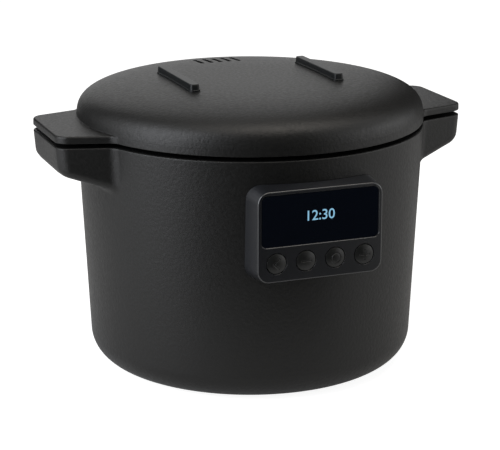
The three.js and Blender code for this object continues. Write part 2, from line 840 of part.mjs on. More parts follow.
// The spring strap that holds the fuse up against the plate.
function fuseClip() {
  const inner = fuseRadius + seat;
  const outer = inner + clipWall;
  const top = plateUnder - seat;
  const footUnder = top - clipWall;
  const middle = plateUnder - seat - clipWall - seat - fuseRadius;
  const outline = [
    [fusePlace - outer - clipFoot, top],
    [fusePlace - outer - clipFoot, footUnder],
    [fusePlace - outer, footUnder],
    [fusePlace - outer, middle - outer, outer / 2],
    [fusePlace + outer, middle - outer, outer / 2],
    [fusePlace + outer, footUnder],
    [fusePlace + outer + clipFoot, footUnder],
    [fusePlace + outer + clipFoot, top],
  ];
  const hollow = rectangle(fusePlace - inner, middle - inner, fusePlace + inner, footUnder, inner / 2);
  const strap = solid(alongY(outline, -clipWidth / 2, clipWidth / 2, 2));
  return cut(strap, solid(alongY(hollow, -clipWidth, clipWidth, 2)));
}

// The sensor's cap, which touches the pot, with its skirt and the stem that its holder guides.
function sensorCap() {
  const skirtUnder = plateTop - sensorSkirtDepth;
  const collarTop = sensorStemUnder + sensorCollarThickness;
  const skinUnder = plateTop - sensorSkin;
  return solid(
    turned([
      [0, sensorStemUnder],
      [sensorCollarRadius, sensorStemUnder],
      [sensorCollarRadius, collarTop],
      [sensorStemRadius, collarTop],
      [sensorStemRadius, skinUnder],
      [sensorRadius - sensorSkin, skinUnder],
      [sensorRadius - sensorSkin, skirtUnder],
      [sensorRadius, skirtUnder],
      [sensorRadius, plateTop, sensorSkin / 2],
      [0, plateTop],
    ], smallSteps, 1),
  );
}

// The cup under the plate that guides the sensor's stem and carries its spring.
function sensorHolder() {
  const inner = plateHoleRadius;
  const outer = inner + holderWall;
  return solid(
    turned([
      [sensorStemRadius + seat, holderUnder],
      [outer, holderUnder, holderWall],
      [outer, holderTop - holderWall],
      [outer + holderFlange, holderTop - holderWall],
      [outer + holderFlange, holderTop],
      [inner, holderTop],
      [inner, holderUnder + holderWall],
      [sensorStemRadius + seat, holderUnder + holderWall],
    ], smallSteps, 1),
  );
}

// The sensor's return spring: one round wire carried up a helix.
function sensorSpring() {
  const low = holderUnder + holderWall + seat + springWireRadius;
  const high = plateTop - sensorSkin - seat - springWireRadius;
  const count = springTurns * springSteps;
  const rings = [];
  for (let step = 0; step <= count; step++) {
    const angle = (2 * Math.PI * step) / springSteps;
    const out = new THREE.Vector3(Math.cos(angle), Math.sin(angle), 0);
    const centre = out.clone().multiplyScalar(springRadius);
    centre.z = low + ((high - low) * step) / count;
    const ring = [];
    for (let side = 0; side < springSides; side++) {
      const spin = (2 * Math.PI * side) / springSides;
      const point = centre.clone().addScaledVector(out, springWireRadius * Math.cos(spin));
      point.z += springWireRadius * Math.sin(spin);
      ring.push(point);
    }
    rings.push(ring);
  }
  return solid(loft(rings));
}

// The base tray: a stepped floor with vents, liner posts, board standoffs and screw bosses.
function baseTray() {
  const pan = solid(
    turned([
      [0, trayUnder],
      [trayRadius, trayUnder],
      [trayRadius, trayFlangeUnder],
      [trayFlangeRadius, trayFlangeUnder],
      [trayFlangeRadius, trayFlangeTop],
      [trayRadius - trayRim, trayFlangeTop],
      [trayRadius - trayRim, trayTop],
      [0, trayTop],
    ]),
  );
  const posts = around(
    () => rod(postRadius, trayTop - trayFloor / 2, linerFloorUnder - seat, postPlace, 0, screwSteps),
    postAngles,
  );
  const bossTop = trayFlangeUnder + baseScrewLength + seat;
  const bossRadius = baseScrewRadius + seat + screwBossWall;
  const bosses = around(
    () => rod(bossRadius, trayFlangeUnder, bossTop, baseScrewPlace, 0, tinySteps),
    quarterAngles,
  );
  const standoffY = boardHalfDepth - boardStandoffInset;
  const standoffs = [boardLeft + boardStandoffInset, boardRight - boardStandoffInset].flatMap((x) =>
    [-standoffY, standoffY].map((y) =>
      solid(rod(boardStandoffRadius, trayTop - trayFloor / 2, boardUnder - seat, x, y, screwSteps)),
    ),
  );
  const vents = [];
  for (let row = 0; row < ventCount; row++) {
    const x = (row - (ventCount - 1) / 2) * ventPitch;
    for (const side of [-1, 1]) {
      const low = side * ventPlace - ventLength / 2;
      const outline = rectangle(x - ventWidth / 2, low, x + ventWidth / 2, low + ventLength);
      vents.push(solid(raised(outline, trayUnder - overrun, trayTop + overrun)));
    }
  }
  const footHoles = around(
    () => rod(footStemRadius + seat, trayUnder - overrun, trayTop + overrun, footPlace, 0, tinySteps),
    quarterAngles,
  );
  const holeTop = bossTop - screwBossWall / 2;
  const screwHoles = around(
    () => rod(baseScrewRadius + seat, standOff - overrun, holeTop, baseScrewPlace, 0, tinySteps),
    quarterAngles,
  );
  return cut(join(pan, ...posts, ...bosses, ...standoffs), ...vents, ...footHoles, ...screwHoles);
}

// A rubber foot whose barbed stem pulls through the tray.
function foot() {
  const padTop = trayUnder - seat;
  const barbLow = trayTop + seat;
  const stemTop = barbLow + footStemRadius;
  const barb = footStemRadius + footBarb;
  return turned([
    [0, 0],
    [footRadius, 0, footRound],
    [footRadius, padTop],
    [footStemRadius, padTop],
    [footStemRadius, barbLow],
    [barb, barbLow],
    [footStemRadius, stemTop],
    [0, stemTop],
  ], tinySteps).translate(footPlace, 0, 0);
}

// A screw with its head down and its shank up.
function screwUp(headUnder, headRadius, headThickness, shankRadius, length) {
  const headTop = headUnder + headThickness;
  return turned([
    [0, headUnder],
    [headRadius, headUnder],
    [headRadius, headTop],
    [shankRadius, headTop],
    [shankRadius, headTop + length],
    [0, headTop + length],
  ], screwSteps, 1);
}

function powerBoard() {
  const outline = rectangle(boardLeft, -boardHalfDepth, boardRight, boardHalfDepth, boardStandoffRadius);
  return solid(raised(outline, boardUnder, boardTop, 1));
}

// A boxy part that stands on the power board, its edges bevelled.
function boardPart([width, depth, height], x, y) {
  const low = boardTop + seat;
  const outline = rectangle(x - width / 2, y - depth / 2, x + width / 2, y + depth / 2);
  return solid(bevelled(outline, low, low + height, partBevel));
}

// The transformer's stacked core with its winding bulging at both ends.
function transformer() {
  const [width, depth, height] = transformerSize;
  const coreSize = [width, depth * coreDepthShare, height];
  const coilSize = [width * coilWidthShare, depth, height * coilHeightShare];
  const x = boardLeft + transformerInset;
  const y = -boardHalfDepth + transformerEdge;
  return join(boardPart(coreSize, x, y), boardPart(coilSize, x, y));
}

function relay() {
  const x = liveLandingX - leadRadius - relayLeadGap - relayWidth / 2;
  return boardPart([relayWidth, relayDepth, relayHeight], x, boardHalfDepth - relayEdge);
}

function capacitor() {
  const low = boardTop + seat;
  const can = turned([
    [0, low],
    [capacitorRadius, low, capacitorRadius * capacitorFootShare],
    [capacitorRadius, low + capacitorHeight, capacitorRadius * capacitorTopShare],
    [0, low + capacitorHeight],
  ], tinySteps, 1);
  const y = -boardHalfDepth + ribbonLanding + capacitorRibbonGap + capacitorRadius;
  return solid(can.translate(boardRight - capacitorInset, y, 0));
}

// Inlet places along Y
const inletFace = bodyRadiusAt(inletHeight) + inletProud;
const inletRear = inletFace - inletDepth;
const inletFloor = inletRear + inletBack;

// The mains inlet: a keyed recess in a block, with a flange that bears on the shell's inner wall.
function inletSocket() {
  const low = inletLow;
  const high = inletHigh;
  const block = solid(
    alongY(rectangle(-inletHalfWidth, low, inletHalfWidth, high, inletRound), inletRear, inletFace, 2),
  );
  const flangeWidth = inletHalfWidth + inletFlange;
  const wallRadius = bodyRadiusAt(low) - shellWall - inletFlangeGap;
  const flangeFront = Math.sqrt(wallRadius ** 2 - flangeWidth ** 2);
  const flangeBlock = solid(
    box(
      [-flangeWidth, flangeFront - inletFlangeThickness, low],
      [flangeWidth, inletFace, high + inletFlange / 2],
    ),
  );
  const flange = flangeBlock.intersect(taperSolid(-shellWall - inletFlangeGap));
  const key = inletHalfHeight / 2;
  const recess = solid(
    alongY(
      [
        [-inletHalfWidth + inletWall, low + inletWall],
        [inletHalfWidth - inletWall, low + inletWall],
        [inletHalfWidth - inletWall, high - inletWall - key],
        [inletHalfWidth - inletWall - key, high - inletWall],
        [-inletHalfWidth + inletWall + key, high - inletWall],
        [-inletHalfWidth + inletWall, high - inletWall - key],
      ],
      inletFloor,
      inletFace + overrun,
    ),
  );
  const pinHoles = inletPins().map(([, x, z]) =>
    solid(
      box(
        [x - pinWidth / 2 - seat, inletRear - overrun, z - pinHeight / 2 - seat],
        [x + pinWidth / 2 + seat, inletFace, z + pinHeight / 2 + seat],
      ),
    ),
  );
  return cut(join(block, flange), recess, ...pinHoles);
}

// Each pin's name with its X and Z.
function inletPins() {
  const lower = inletHeight - pinRise / 2;
  return [
    ["inlet_pin_live", -pinSpacing / 2, lower],
    ["inlet_pin_neutral", pinSpacing / 2, lower],
    ["inlet_pin_earth", 0, lower + pinRise],
  ];
}

function inletPin(x, z) {
  const outline = rectangle(x - pinWidth / 2, z - pinHeight / 2, x + pinWidth / 2, z + pinHeight / 2);
  return solid(alongY(outline, inletRear - pinTail, inletFace - pinDepth));
}

// A lead along a smooth curve through its points.
function lead(points) {
  const route = new THREE.CatmullRomCurve3(points.map((point) => new THREE.Vector3(...point)));
  const section = new THREE.Shape().absarc(0, 0, leadRadius, 0, 2 * Math.PI);
  return solid(
    new THREE.ExtrudeGeometry(section, { steps: leadSteps, extrudePath: route, curveSegments: arcSteps }),
  );
}

// A mains lead from an inlet pin's tail down to the power board.
function mainsLead([, x, z], end) {
  const start = inletRear - pinTail - seat;
  const edge = boardHalfDepth;
  const rest = boardTop + seat + leadRadius;
  return lead([
    [x, start, z],
    [x, start - leadRun, z - leadRadius],
    [(x + end) / 2, (start + edge) / 2, (z + rest) / 2],
    [end, edge + leadRun, rest + leadRadius],
    [end, edge - leadRun, rest + seat],
  ]);
}

// The control pod's outer form: rings of rounded rectangles, bevelled at the face and wider behind.
function podBlock() {
  const back = podReach - Math.sqrt(bodyFootRadius ** 2 - podHalfWidth ** 2);
  const depths = [0, podBevel, back];
  const grow = [-podBevel, 0, podDraft];
  return loft(
    depths.map((depth, place) => {
      const more = grow[place];
      const outline = rectangle(
        -podHalfWidth - more,
        podLow - more,
        podHalfWidth + more,
        podHigh + more,
        podRound + more,
      );
      return rounded(outline).map((p) => new THREE.Vector3(p.x, podFace + depth, p.y));
    }),
  );
}

// Upright rods turned to point out of the pod's face, one at each screw.
function atPodScrews(radius, low, high) {
  return podScrewPlaces.map((x) => solid(outOfFace(rod(radius, low, high, 0, 0, tinySteps), x, podScrewZ)));
}

// The pod's moulded housing, with the lens recess, display window, button holes and screw bosses.
function podHousing() {
  const front = podFace + podFront;
  const inner = podHalfWidth - podWall;
  const cavity = solid(
    alongY(
      rectangle(-inner, podLow + podWall, inner, podHigh - podWall, podRound - podWall),
      front,
      overrun,
    ),
  );
  const recess = solid(
    alongY(
      rectangle(-lensHalfWidth - seat, lensLow - seat, lensHalfWidth + seat, lensHigh + seat, lensRound),
      podFace - overrun,
      podFace + lensSink + lensThickness + seat,
    ),
  );
  const half = displayHalfWidth - displayBorder;
  const tall = displayHeight / 2 - displayBorder;
  const window = solid(
    box([-half, podFace, displayMiddle - tall], [half, front + overrun, displayMiddle + tall]),
  );
  const holeRadius = buttonRadius + buttonRing;
  const holes = buttonPlaces.map(([, x]) =>
    solid(outOfFace(rod(holeRadius, -podFront - overrun, overrun, 0, 0, buttonSteps), x, buttonZ)),
  );
  const bosses = atPodScrews(podBossRadius, -controlBoardDepth + seat, -podFront / 2);
  const bossHoles = atPodScrews(podScrewRadius + seat, -controlBoardDepth - overrun, -podFront);
  const tub = cut(solid(podBlock()), taperSolid(seat), cavity);
  return cut(join(tub, ...bosses), recess, window, ...holes, ...bossHoles);
}

function displayLens() {
  const front = podFace + lensSink;
  const outline = rectangle(-lensHalfWidth, lensLow, lensHalfWidth, lensHigh, lensRound - seat);
  return solid(alongY(outline, front, front + lensThickness));
}

function displayModule() {
  const front = podFace + podFront + seat;
  const tall = displayHeight / 2;
  return solid(
    box(
      [-displayHalfWidth, front, displayMiddle - tall],
      [displayHalfWidth, boardFront - seat, displayMiddle + tall],
    ),
  );
}

function controlBoard() {
  const half = podHalfWidth - podWall - controlBoardMargin;
  const margin = podWall + controlBoardMargin;
  const outline = rectangle(-half, podLow + margin, half, podHigh - margin, podRound - margin);
  const board = solid(alongY(outline, boardFront, controlBoardRear, 2));
  const middle = -controlBoardDepth;
  return cut(board, ...atPodScrews(podScrewRadius + seat, middle - overrun, middle + overrun));
}

// The pod's rear tray, which passes through the shell, and its curved flange inside the wall.
function podBack() {
  const half = podHalfWidth - podBackMargin;
  const low = podLow + podBackMargin;
  const high = podHigh - podBackMargin;
  const front = controlBoardRear + seat;
  const tray = solid(box([-half, front, low], [half, podBackRear, high]));
  const band = cut(
    taperSolid(-shellWall - seat),
    taperSolid(-shellWall - seat - podBackWall),
  ).intersect(
    solid(
      box(
        [-half - podBackFlange, -bodyTopRadius, low - podBackFlange],
        [half + podBackFlange, 0, high + podBackFlange],
      ),
    ),
  );
  const hollow = solid(
    box(
      [-half + podBackWall, front - overrun, low + podBackWall],
      [half - podBackWall, podBackRear - podBackWall, high - podBackWall],
    ),
  );
  const screwHoles = atPodScrews(podScrewRadius + seat, -podBackDepth - overrun, -controlBoardDepth);
  const headRecesses = atPodScrews(podScrewHeadRadius + seat, -podBackDepth - overrun, -podBackDepth);
  const slot = solid(
    box(
      [-ribbonWidth / 2 - seat, podBackRear - overrun, ribbonHigh - 2 * ribbonThickness],
      [ribbonWidth / 2 + seat, podBackRear + overrun, ribbonHigh + ribbonThickness],
    ),
  );
  return cut(join(tray, band), hollow, ...screwHoles, ...headRecesses, slot);
}

// A screw through the pod's tray and board into the housing, head inside the body.
function podScrew(x) {
  const headUnder = -podBackDepth - seat - podScrewHead;
  const length = podBackDepth + seat - podFront - buttonNubRadius;
  const screw = screwUp(headUnder, podScrewHeadRadius, podScrewHead, podScrewRadius, length);
  return solid(outOfFace(screw, x, podScrewZ));
}

// The ribbon from the control board, down between shell and liner, and in to the power board.
function ribbonCable() {
  const half = ribbonThickness / 2;
  const start = controlBoardRear + seat;
  const drop = (podBackRear - linerRadius) / 2;
  const knee = linerFloorUnder - ribbonBend;
  const landing = -boardHalfDepth - ribbonLanding;
  const end = -boardHalfDepth + ribbonLanding;
  const low = boardTop + seat + half;
  const outline = [
    [start, ribbonHigh + half],
    [drop + half, ribbonHigh + half, ribbonBend],
    [drop + half, knee + half, ribbonBend],
    [landing, low + half, ribbonBend],
    [end, low + half],
    [end, low - half],
    [landing, low - half, ribbonBend + ribbonThickness],
    [drop - half, knee - half, ribbonBend + ribbonThickness],
    [drop - half, ribbonHigh - half, ribbonBend - ribbonThickness],
    [start, ribbonHigh - half],
  ];
  return solid(alongX(outline, -ribbonWidth / 2, ribbonWidth / 2));
}

// A button: a crowned cap in its hole, a flange behind the wall and a nub towards the switch.
function button(x) {
  const flangeTop = -podFront - seat;
  const flangeUnder = flangeTop - buttonFlangeThickness;
  const nubUnder = flangeUnder - buttonNubLength;
  const flangeRadius = buttonRadius + buttonRing + buttonFlange;
  const cap = turned([
    [0, nubUnder],
    [buttonNubRadius, nubUnder],
    [buttonNubRadius, flangeUnder],
    [flangeRadius, flangeUnder],
    [flangeRadius, flangeTop],
    [buttonRadius, flangeTop],
    [buttonRadius, buttonEdge, buttonEdge],
    [buttonRadius / 2, buttonCrown * buttonShoulderShare],
    [0, buttonCrown],
  ], buttonSteps, 1);
  return solid(outOfFace(cap, x, buttonZ));
}

// A tact switch on the control board, under a button.
function tactSwitch(x) {
  const nub = podFront + seat + buttonFlangeThickness + buttonNubLength;
  const plungerTop = -nub - buttonTravel - buttonSlack;
  const bodyTopHeight = plungerTop - plungerLength;
  const bodyLow = -controlBoardDepth + seat;
  const half = switchHalfWidth;
  const body = solid(outOfFace(box([-half, -half, bodyLow], [half, half, bodyTopHeight]), x, buttonZ));
  const plunger = solid(outOfFace(rod(plungerRadius, bodyLow, plungerTop, 0, 0, tinySteps), x, buttonZ));
  return join(body, plunger);
}

// The lid's dome as a filled solid: a superellipse turned about the axis, drawn in by an inset.
function domeSolid(inset, low, steps = domeSteps) {
  const reach = lidRadius - inset;
  const rise = domeRise - inset;
  const outline = [[0, low], [reach, low]];
  const from = Math.asin((domeStart / rise) ** (domeCrownPower / 2));
  for (let step = 0; step < steps; step++) {
    const angle = from + (Math.PI / 2 - from) * (step / steps) ** domeCrowding;
    const radius = reach * Math.cos(angle) ** (2 / domePower);
    outline.push([radius, domeBase + rise * Math.sin(angle) ** (2 / domeCrownPower)]);
  }
  outline.push([0, domeBase + rise]);
  return solid(turned(outline));
}

// The lid cover: a dome with two flat ears, screw bosses, steam slots and holes for the rails' pegs.
function lidCover() {
  const ears = bothSides(() =>
    bevelled(earPlan(0, lidRadius - lidEarOverlap), lidEdge, lidEdge + lidEarThickness, lidEarBevel),
  );
  const cavity = domeSolid(lidWall, lidEdge - overrun, innerDomeSteps);
  const bossLow = innerPlateRaisedTop + seat;
  const innerZ = domeHeightAt(lidBossPlace - lidBossRadius, lidWall);
  const outerZ = domeHeightAt(lidBossPlace + lidBossRadius, 0);
  const bossHigh = (innerZ + outerZ) / 2;
  const bosses = around(
    () => rod(lidBossRadius, bossLow, bossHigh, lidBossPlace, 0, tinySteps),
    quarterAngles,
  );
  const holeHigh = bossLow + lidScrewLength;
  const bossHoles = around(
    () => rod(lidScrewRadius + seat, bossLow - overrun, holeHigh, lidBossPlace, 0, tinySteps),
    quarterAngles,
  );
  const slots = [];
  for (let place = 0; place < steamSlotCount; place++) {
    const x = (place - (steamSlotCount - 1) / 2) * steamSlotPitch;
    const outline = rectangle(
      x - steamSlotWidth / 2,
      steamSlotPlace - steamSlotLength / 2,
      x + steamSlotWidth / 2,
      steamSlotPlace + steamSlotLength / 2,
      steamSlotWidth / 2,
    );
    slots.push(solid(raised(outline, innerPlateRaisedTop, domeBase + domeRise + overrun, 2)));
  }
  const pegHoles = railPlaces.flatMap((x) =>
    pegPlaces.map((y) =>
      solid(rod(railPegRadius + seat, innerPlateRaisedTop, domeBase + domeRise + overrun, x, y, tinySteps)),
    ),
  );
  const hollow = cut(join(domeSolid(0, lidEdge), ...ears), cavity);
  return cut(join(hollow, ...bosses), ...bossHoles, ...slots, ...pegHoles);
}

// A rail on the lid: a round-ended bar whose underside follows the dome, with two pegs.
function lidRail(x) {
  const top = domeHeightAt(railPlace, 0) + railHeight;
  const low = domeHeightAt(Math.hypot(railPlace, railFront), 0) - overrun;
  const half = railWidth / 2;
  const outline = rectangle(x - half, -railFront, x + half, railBack, half - railBevel / 2);
  const bar = solid(bevelled(outline, low, top, railBevel));
  const dome = domeSolid(-seat, lidEdge);
  const pegs = pegPlaces.map((y) => {
    const wallUnder = domeHeightAt(Math.hypot(railPlace, y), lidWall);
    return solid(rod(railPegRadius, wallUnder - railPegLength, top - railHeight / 2, x, y, tinySteps));
  });
  return join(cut(bar, dome), ...pegs);
}

// The pressed inner plate under the lid, with screw holes and the steam holes under the vent box.
function lidInnerPlate() {
  const step = innerPlateStepRadius;
  const plate = solid(
    turned([
      [0, innerPlateUnder + innerPlateStep],
      [step, innerPlateUnder + innerPlateStep],
      [step + innerPlateSlope, innerPlateUnder],
      [innerPlateRadius, innerPlateUnder],
      [innerPlateRadius, innerPlateTop],
      [step + innerPlateSlope + innerPlateWall, innerPlateTop],
      [step + innerPlateWall, innerPlateRaisedTop],
      [0, innerPlateRaisedTop],
    ]),
  );
  const low = innerPlateUnder - overrun;
  const high = innerPlateRaisedTop + overrun;
  const holes = around(
    () => rod(lidScrewRadius + seat, low, high, lidBossPlace, 0, tinySteps),
    quarterAngles,
  );
  const steamHoles = ventBoxHoles(low, high);
  return cut(plate, ...holes, ...steamHoles);
}

function ventBoxHoles(low, high) {
  const holes = [];
  for (let place = 0; place < ventBoxHoleCount; place++) {
    const x = (place - (ventBoxHoleCount - 1) / 2) * ventBoxHolePitch;
    holes.push(solid(rod(ventBoxHoleRadius, low, high, x, steamSlotPlace, tinySteps)));
  }
  return holes;
}

function lidGasket() {
  const outer = innerPlateRadius - innerPlateWall;
  const inner = outer - gasketWidth;
  const middle = (outer + inner) / 2;
  return solid(
    turned([
      [middle - gasketLip / 2, gasketUnder],
      [middle + gasketLip / 2, gasketUnder],
      [outer, gasketTop - gasketHeight / 2],
      [outer, gasketTop],
      [inner, gasketTop],
      [inner, gasketTop - gasketHeight / 2],
    ], roundSteps, 1),
  );
}

// The steam vent box: an open tub on the inner plate, under the slots, whose rim follows the dome.
function steamVent() {
  const halfX = ((steamSlotCount - 1) * steamSlotPitch + steamSlotWidth) / 2 + ventBoxMargin;
  const halfY = steamSlotLength / 2 + ventBoxMargin;
  const low = innerPlateRaisedTop + seat;
  const high = domeHeightAt(steamSlotPlace - halfY, lidWall);
  const outline = (inset) =>
    rectangle(
      -halfX + inset,
      steamSlotPlace - halfY + inset,
      halfX - inset,
      steamSlotPlace + halfY - inset,
      ventBoxMargin * 2 - inset,
    );
  const underLid = domeSolid(lidWall + seat, lidEdge - overrun, innerDomeSteps);
  const tub = solid(raised(outline(0), low, high, 2)).intersect(underLid);
  const hollow = solid(raised(outline(ventBoxWall), low + ventBoxWall, high + overrun, 2));
  return cut(tub, hollow, ...ventBoxHoles(low - overrun, high + overrun));
}

piece("outer_shell", outerShell(), "shell");
piece("top_collar", topCollar(), "moulding");
piece("inner_liner", innerLiner(), "steel");
piece("heating_plate", heatingPlate(), "castAluminium");
piece("heating_element", heatingElement(), "steel");
piece("thermal_fuse", thermalFuse(), "steel");
piece("fuse_clip", fuseClip(), "zinc");
piece("sensor_holder", sensorHolder(), "zinc");
piece("sensor_spring", sensorSpring(), "steel");
piece("base_tray", baseTray(), "moulding");
quarterAngles.forEach((angle, place) => {
  const turn = THREE.MathUtils.degToRad(angle);
  piece(`foot_${place + 1}`, solid(foot().rotateZ(turn)), "rubber");
  const headUnder = standOff - seat;
  const screw = screwUp(headUnder, baseScrewHeadRadius, baseScrewHead, baseScrewRadius, baseScrewLength);
  piece(`base_screw_${place + 1}`, solid(screw.translate(baseScrewPlace, 0, 0).rotateZ(turn)), "zinc");
});
piece("power_board", powerBoard(), "board");
piece("transformer", transformer(), "copper");
piece("relay", relay(), "component");
piece("capacitor", capacitor(), "component");
piece("inlet_socket", inletSocket(), "moulding");
inletPins().forEach(([name, x, z]) => piece(name, inletPin(x, z), "brass"));
const [livePin, neutralPin] = inletPins();
piece("live_lead", mainsLead(livePin, liveLandingX), "wire");
piece("neutral_lead", mainsLead(neutralPin, neutralLandingX), "wire");
piece("pod_housing", podHousing(), "moulding");
piece("display_lens", displayLens(), "lens");
piece("display_module", displayModule(), "component");
piece("control_board", controlBoard(), "board");
piece("pod_back", podBack(), "moulding");
piece("pod_screw_left", podScrew(podScrewPlaces[0]), "zinc");
piece("pod_screw_right", podScrew(podScrewPlaces[1]), "zinc");
piece("ribbon_cable", ribbonCable(), "wire");
buttonPlaces.forEach(([name, x], place) => {
  piece(`tact_switch_${place + 1}`, tactSwitch(x), "component");
  piece(name, button(x), "button");
});
piece("sensor_cap", sensorCap(), "castAluminium");
piece("inner_pot", innerPot(), "pot");
piece("lid_cover", lidCover(), "shell");
piece("lid_inner_plate", lidInnerPlate(), "steel");
piece("lid_gasket", lidGasket(), "silicone");
piece("steam_vent", steamVent(), "moulding");
piece("lid_rail_left", lidRail(railPlaces[0]), "moulding");
piece("lid_rail_right", lidRail(railPlaces[1]), "moulding");
quarterAngles.forEach((angle, place) => {
  const headUnder = innerPlateUnder - seat - lidScrewHead;
  const screw = screwUp(headUnder, lidScrewHeadRadius, lidScrewHead, lidScrewRadius, lidScrewLength);
  const turn = THREE.MathUtils.degToRad(angle);
  piece(`lid_screw_${place + 1}`, solid(screw.translate(lidBossPlace, 0, 0).rotateZ(turn)), "zinc");
});

// The origin is under the middle of the outline, from the buttons in front to the back of the lid.
multicooker.position.y = (podReach + buttonCrown - lidRadius) / 2;

export default multicooker;
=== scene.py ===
"""A countertop multicooker: a matt black body and domed lid with flat ears, a control pod with a display
and four round buttons, and the coated pot, liner, heating plate and sensor inside."""

import json
import math

import bmesh
import bpy
import numpy as np
from mathutils import Matrix, Vector


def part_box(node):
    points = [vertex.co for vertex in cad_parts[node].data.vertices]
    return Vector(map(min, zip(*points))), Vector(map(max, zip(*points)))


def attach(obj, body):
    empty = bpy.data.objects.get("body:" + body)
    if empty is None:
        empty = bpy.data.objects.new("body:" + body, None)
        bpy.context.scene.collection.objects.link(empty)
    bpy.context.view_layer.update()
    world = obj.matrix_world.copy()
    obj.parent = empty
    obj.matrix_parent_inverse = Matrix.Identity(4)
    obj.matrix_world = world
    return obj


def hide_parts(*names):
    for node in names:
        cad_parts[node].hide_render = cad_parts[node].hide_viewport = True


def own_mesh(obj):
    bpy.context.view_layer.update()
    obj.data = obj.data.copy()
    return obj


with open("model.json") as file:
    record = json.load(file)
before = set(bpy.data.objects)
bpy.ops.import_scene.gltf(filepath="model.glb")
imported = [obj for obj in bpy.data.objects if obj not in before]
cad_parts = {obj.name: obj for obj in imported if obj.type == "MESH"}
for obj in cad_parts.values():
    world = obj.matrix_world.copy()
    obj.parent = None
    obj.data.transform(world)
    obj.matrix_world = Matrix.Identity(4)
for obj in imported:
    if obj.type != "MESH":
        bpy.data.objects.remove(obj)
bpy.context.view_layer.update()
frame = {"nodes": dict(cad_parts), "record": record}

MM = 0.001  # every size below is in millimetres


def extent(node):
    """A node's lowest and highest corners in millimetres."""
    low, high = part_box(node)
    return np.array(low) / MM, np.array(high) / MM


# Places read from the frame
shell_low, shell_high = extent("outer_shell")
lid_low, lid_high = extent("lid_cover")
pot_low, pot_high = extent("inner_pot")
pod_low = extent("pod_housing")[0]
rail_low, rail_high = extent("lid_rail_right")
collar_low, collar_high = extent("top_collar")
gasket_low, gasket_high = extent("lid_gasket")
plate_low = extent("lid_inner_plate")[0]
inlet_high = extent("inlet_socket")[1]
liner_low, liner_high = extent("inner_liner")
heater_low, heater_high = extent("heating_plate")
cap_low, cap_high = extent("sensor_cap")
tray_low = extent("base_tray")[0]
foot_high = extent("foot_1")[1]
axis_y = (pot_low[1] + pot_high[1]) / 2  # the pot's axis; shapes are worked out about it

# Body
body_top_radius = 140
body_foot_radius = 131.2
body_under = shell_low[2]
body_top = shell_high[2]
foot_fillet = 23
shell_wall = 2.6
shell_mouth_radius = 100
rim_round = 0.9
rim_border = 1.7  # width of the shell's edge left round the collar
shoulder = 42  # height under which the body is a plain round
slope_step = rim_round / 100  # over which an outline's slopes are measured

# Inlet's hole in the body
inlet_hole_size = (28.6, 20.6)
inlet_hole_round = 3.3
inlet_hole_depth = 12
inlet_middle_z = 34

# Ears
ear_reach = shell_high[0] + 2.5  # the photograph shows them a little longer than the frame
ear_tip_half_width = 40.2
ear_root_half_width = 51.2
ear_root_reach = 133
ear_tip_round = 8
ear_flare = 4
ear_tip_depth = 21.8
ear_root_depth = 35
ear_lower_round = 7
ear_nose_round = 4.5
ear_lean = math.tan(math.radians(4.5))
ear_taper = (ear_root_half_width - ear_tip_half_width) / (ear_reach - ear_root_reach)
ear_rise = (ear_root_depth - ear_tip_depth) / (ear_reach - ear_root_reach)

# Lid
lid_radius = 140
lid_edge = lid_low[2]
lid_crown = lid_high[2]
dome_start = 3.8
dome_base = lid_edge - dome_start
dome_rise = lid_crown - dome_base
dome_power = 3.34  # of the dome's curve along its radius
dome_crown_power = 4.39  # and up its height
lid_wall = 2.5
lid_ear_thickness = 5.7
lid_ear_bevel = 1.3
lid_lower_round = 0.6
lid_foot_fillet = 0.6  # between an ear's flat top and the dome
ear_fade = 3  # the ear's bevel and fillet grow over this much reach
row_climb = 0.02  # keeps rows apart where an ear's rows close up
slot_count = 5
slot_pitch = 8.1
slot_length = 24.4
slot_width = 3.5
slot_place = 79

# Rails
rail_width = rail_high[0] - rail_low[0]
rail_round = 2.9
rail_bevel = 0.9
rail_ledge = 0.7
rail_ledge_height = 1.3
rail_draft = 0.25
rail_sink = 1
rail_front_extra = 0.8  # the photograph shows the rails a little longer than the frame
rail_back_extra = 6.5

# Control pod
pod_face = pod_low[1] - axis_y
pod_half_width = 50.2
pod_lower = 105.9
pod_upper = 175.8
pod_round = 9
pod_bevel = 1.1
pod_draft = 2.4
pod_groove = 0.8
pod_groove_height = 0.7
pod_sink = 3
lens_half_width = 47.4
lens_lower = 133.2
lens_upper = 172.9
lens_round = 4
lens_sink = 0.2
lens_gap = 0.25
lens_edge = 0.3
lens_recess = 1.6
digit_height = 8
digit_weight = 0.06
digit_proud = 0.04
digit_middle_x = -0.8
digit_middle_z = 155.4
digit_words = "12:30"
digit_font_share = 0.729  # a digit's height as a share of the font's size

# Buttons
button_radius = 7.7
button_ring = 0.6
button_crown = 1.6
button_edge = 0.35
button_height = 120.5
button_spacing = 23.65
button_places = [button_spacing * share for share in (-1.5, -0.5, 0.5, 1.5)]
button_depth = 3
hole_depth = 6
hole_edge = 0.12
engraving = 0.35
stroke_half = 0.62
stroke_edge = 0.22
symbol_half = 3.7
chevron_back, chevron_front = -2.6, 1.6

# Pot, collar and lid's inner parts
pot_radius = 118
pot_base_radius = 115
pot_wall = 2
pot_fillet = 22
pot_rim_radius = (pot_high[0] - pot_low[0]) / 2
pot_rim_thickness = 1.8
pot_rim_round = 0.8

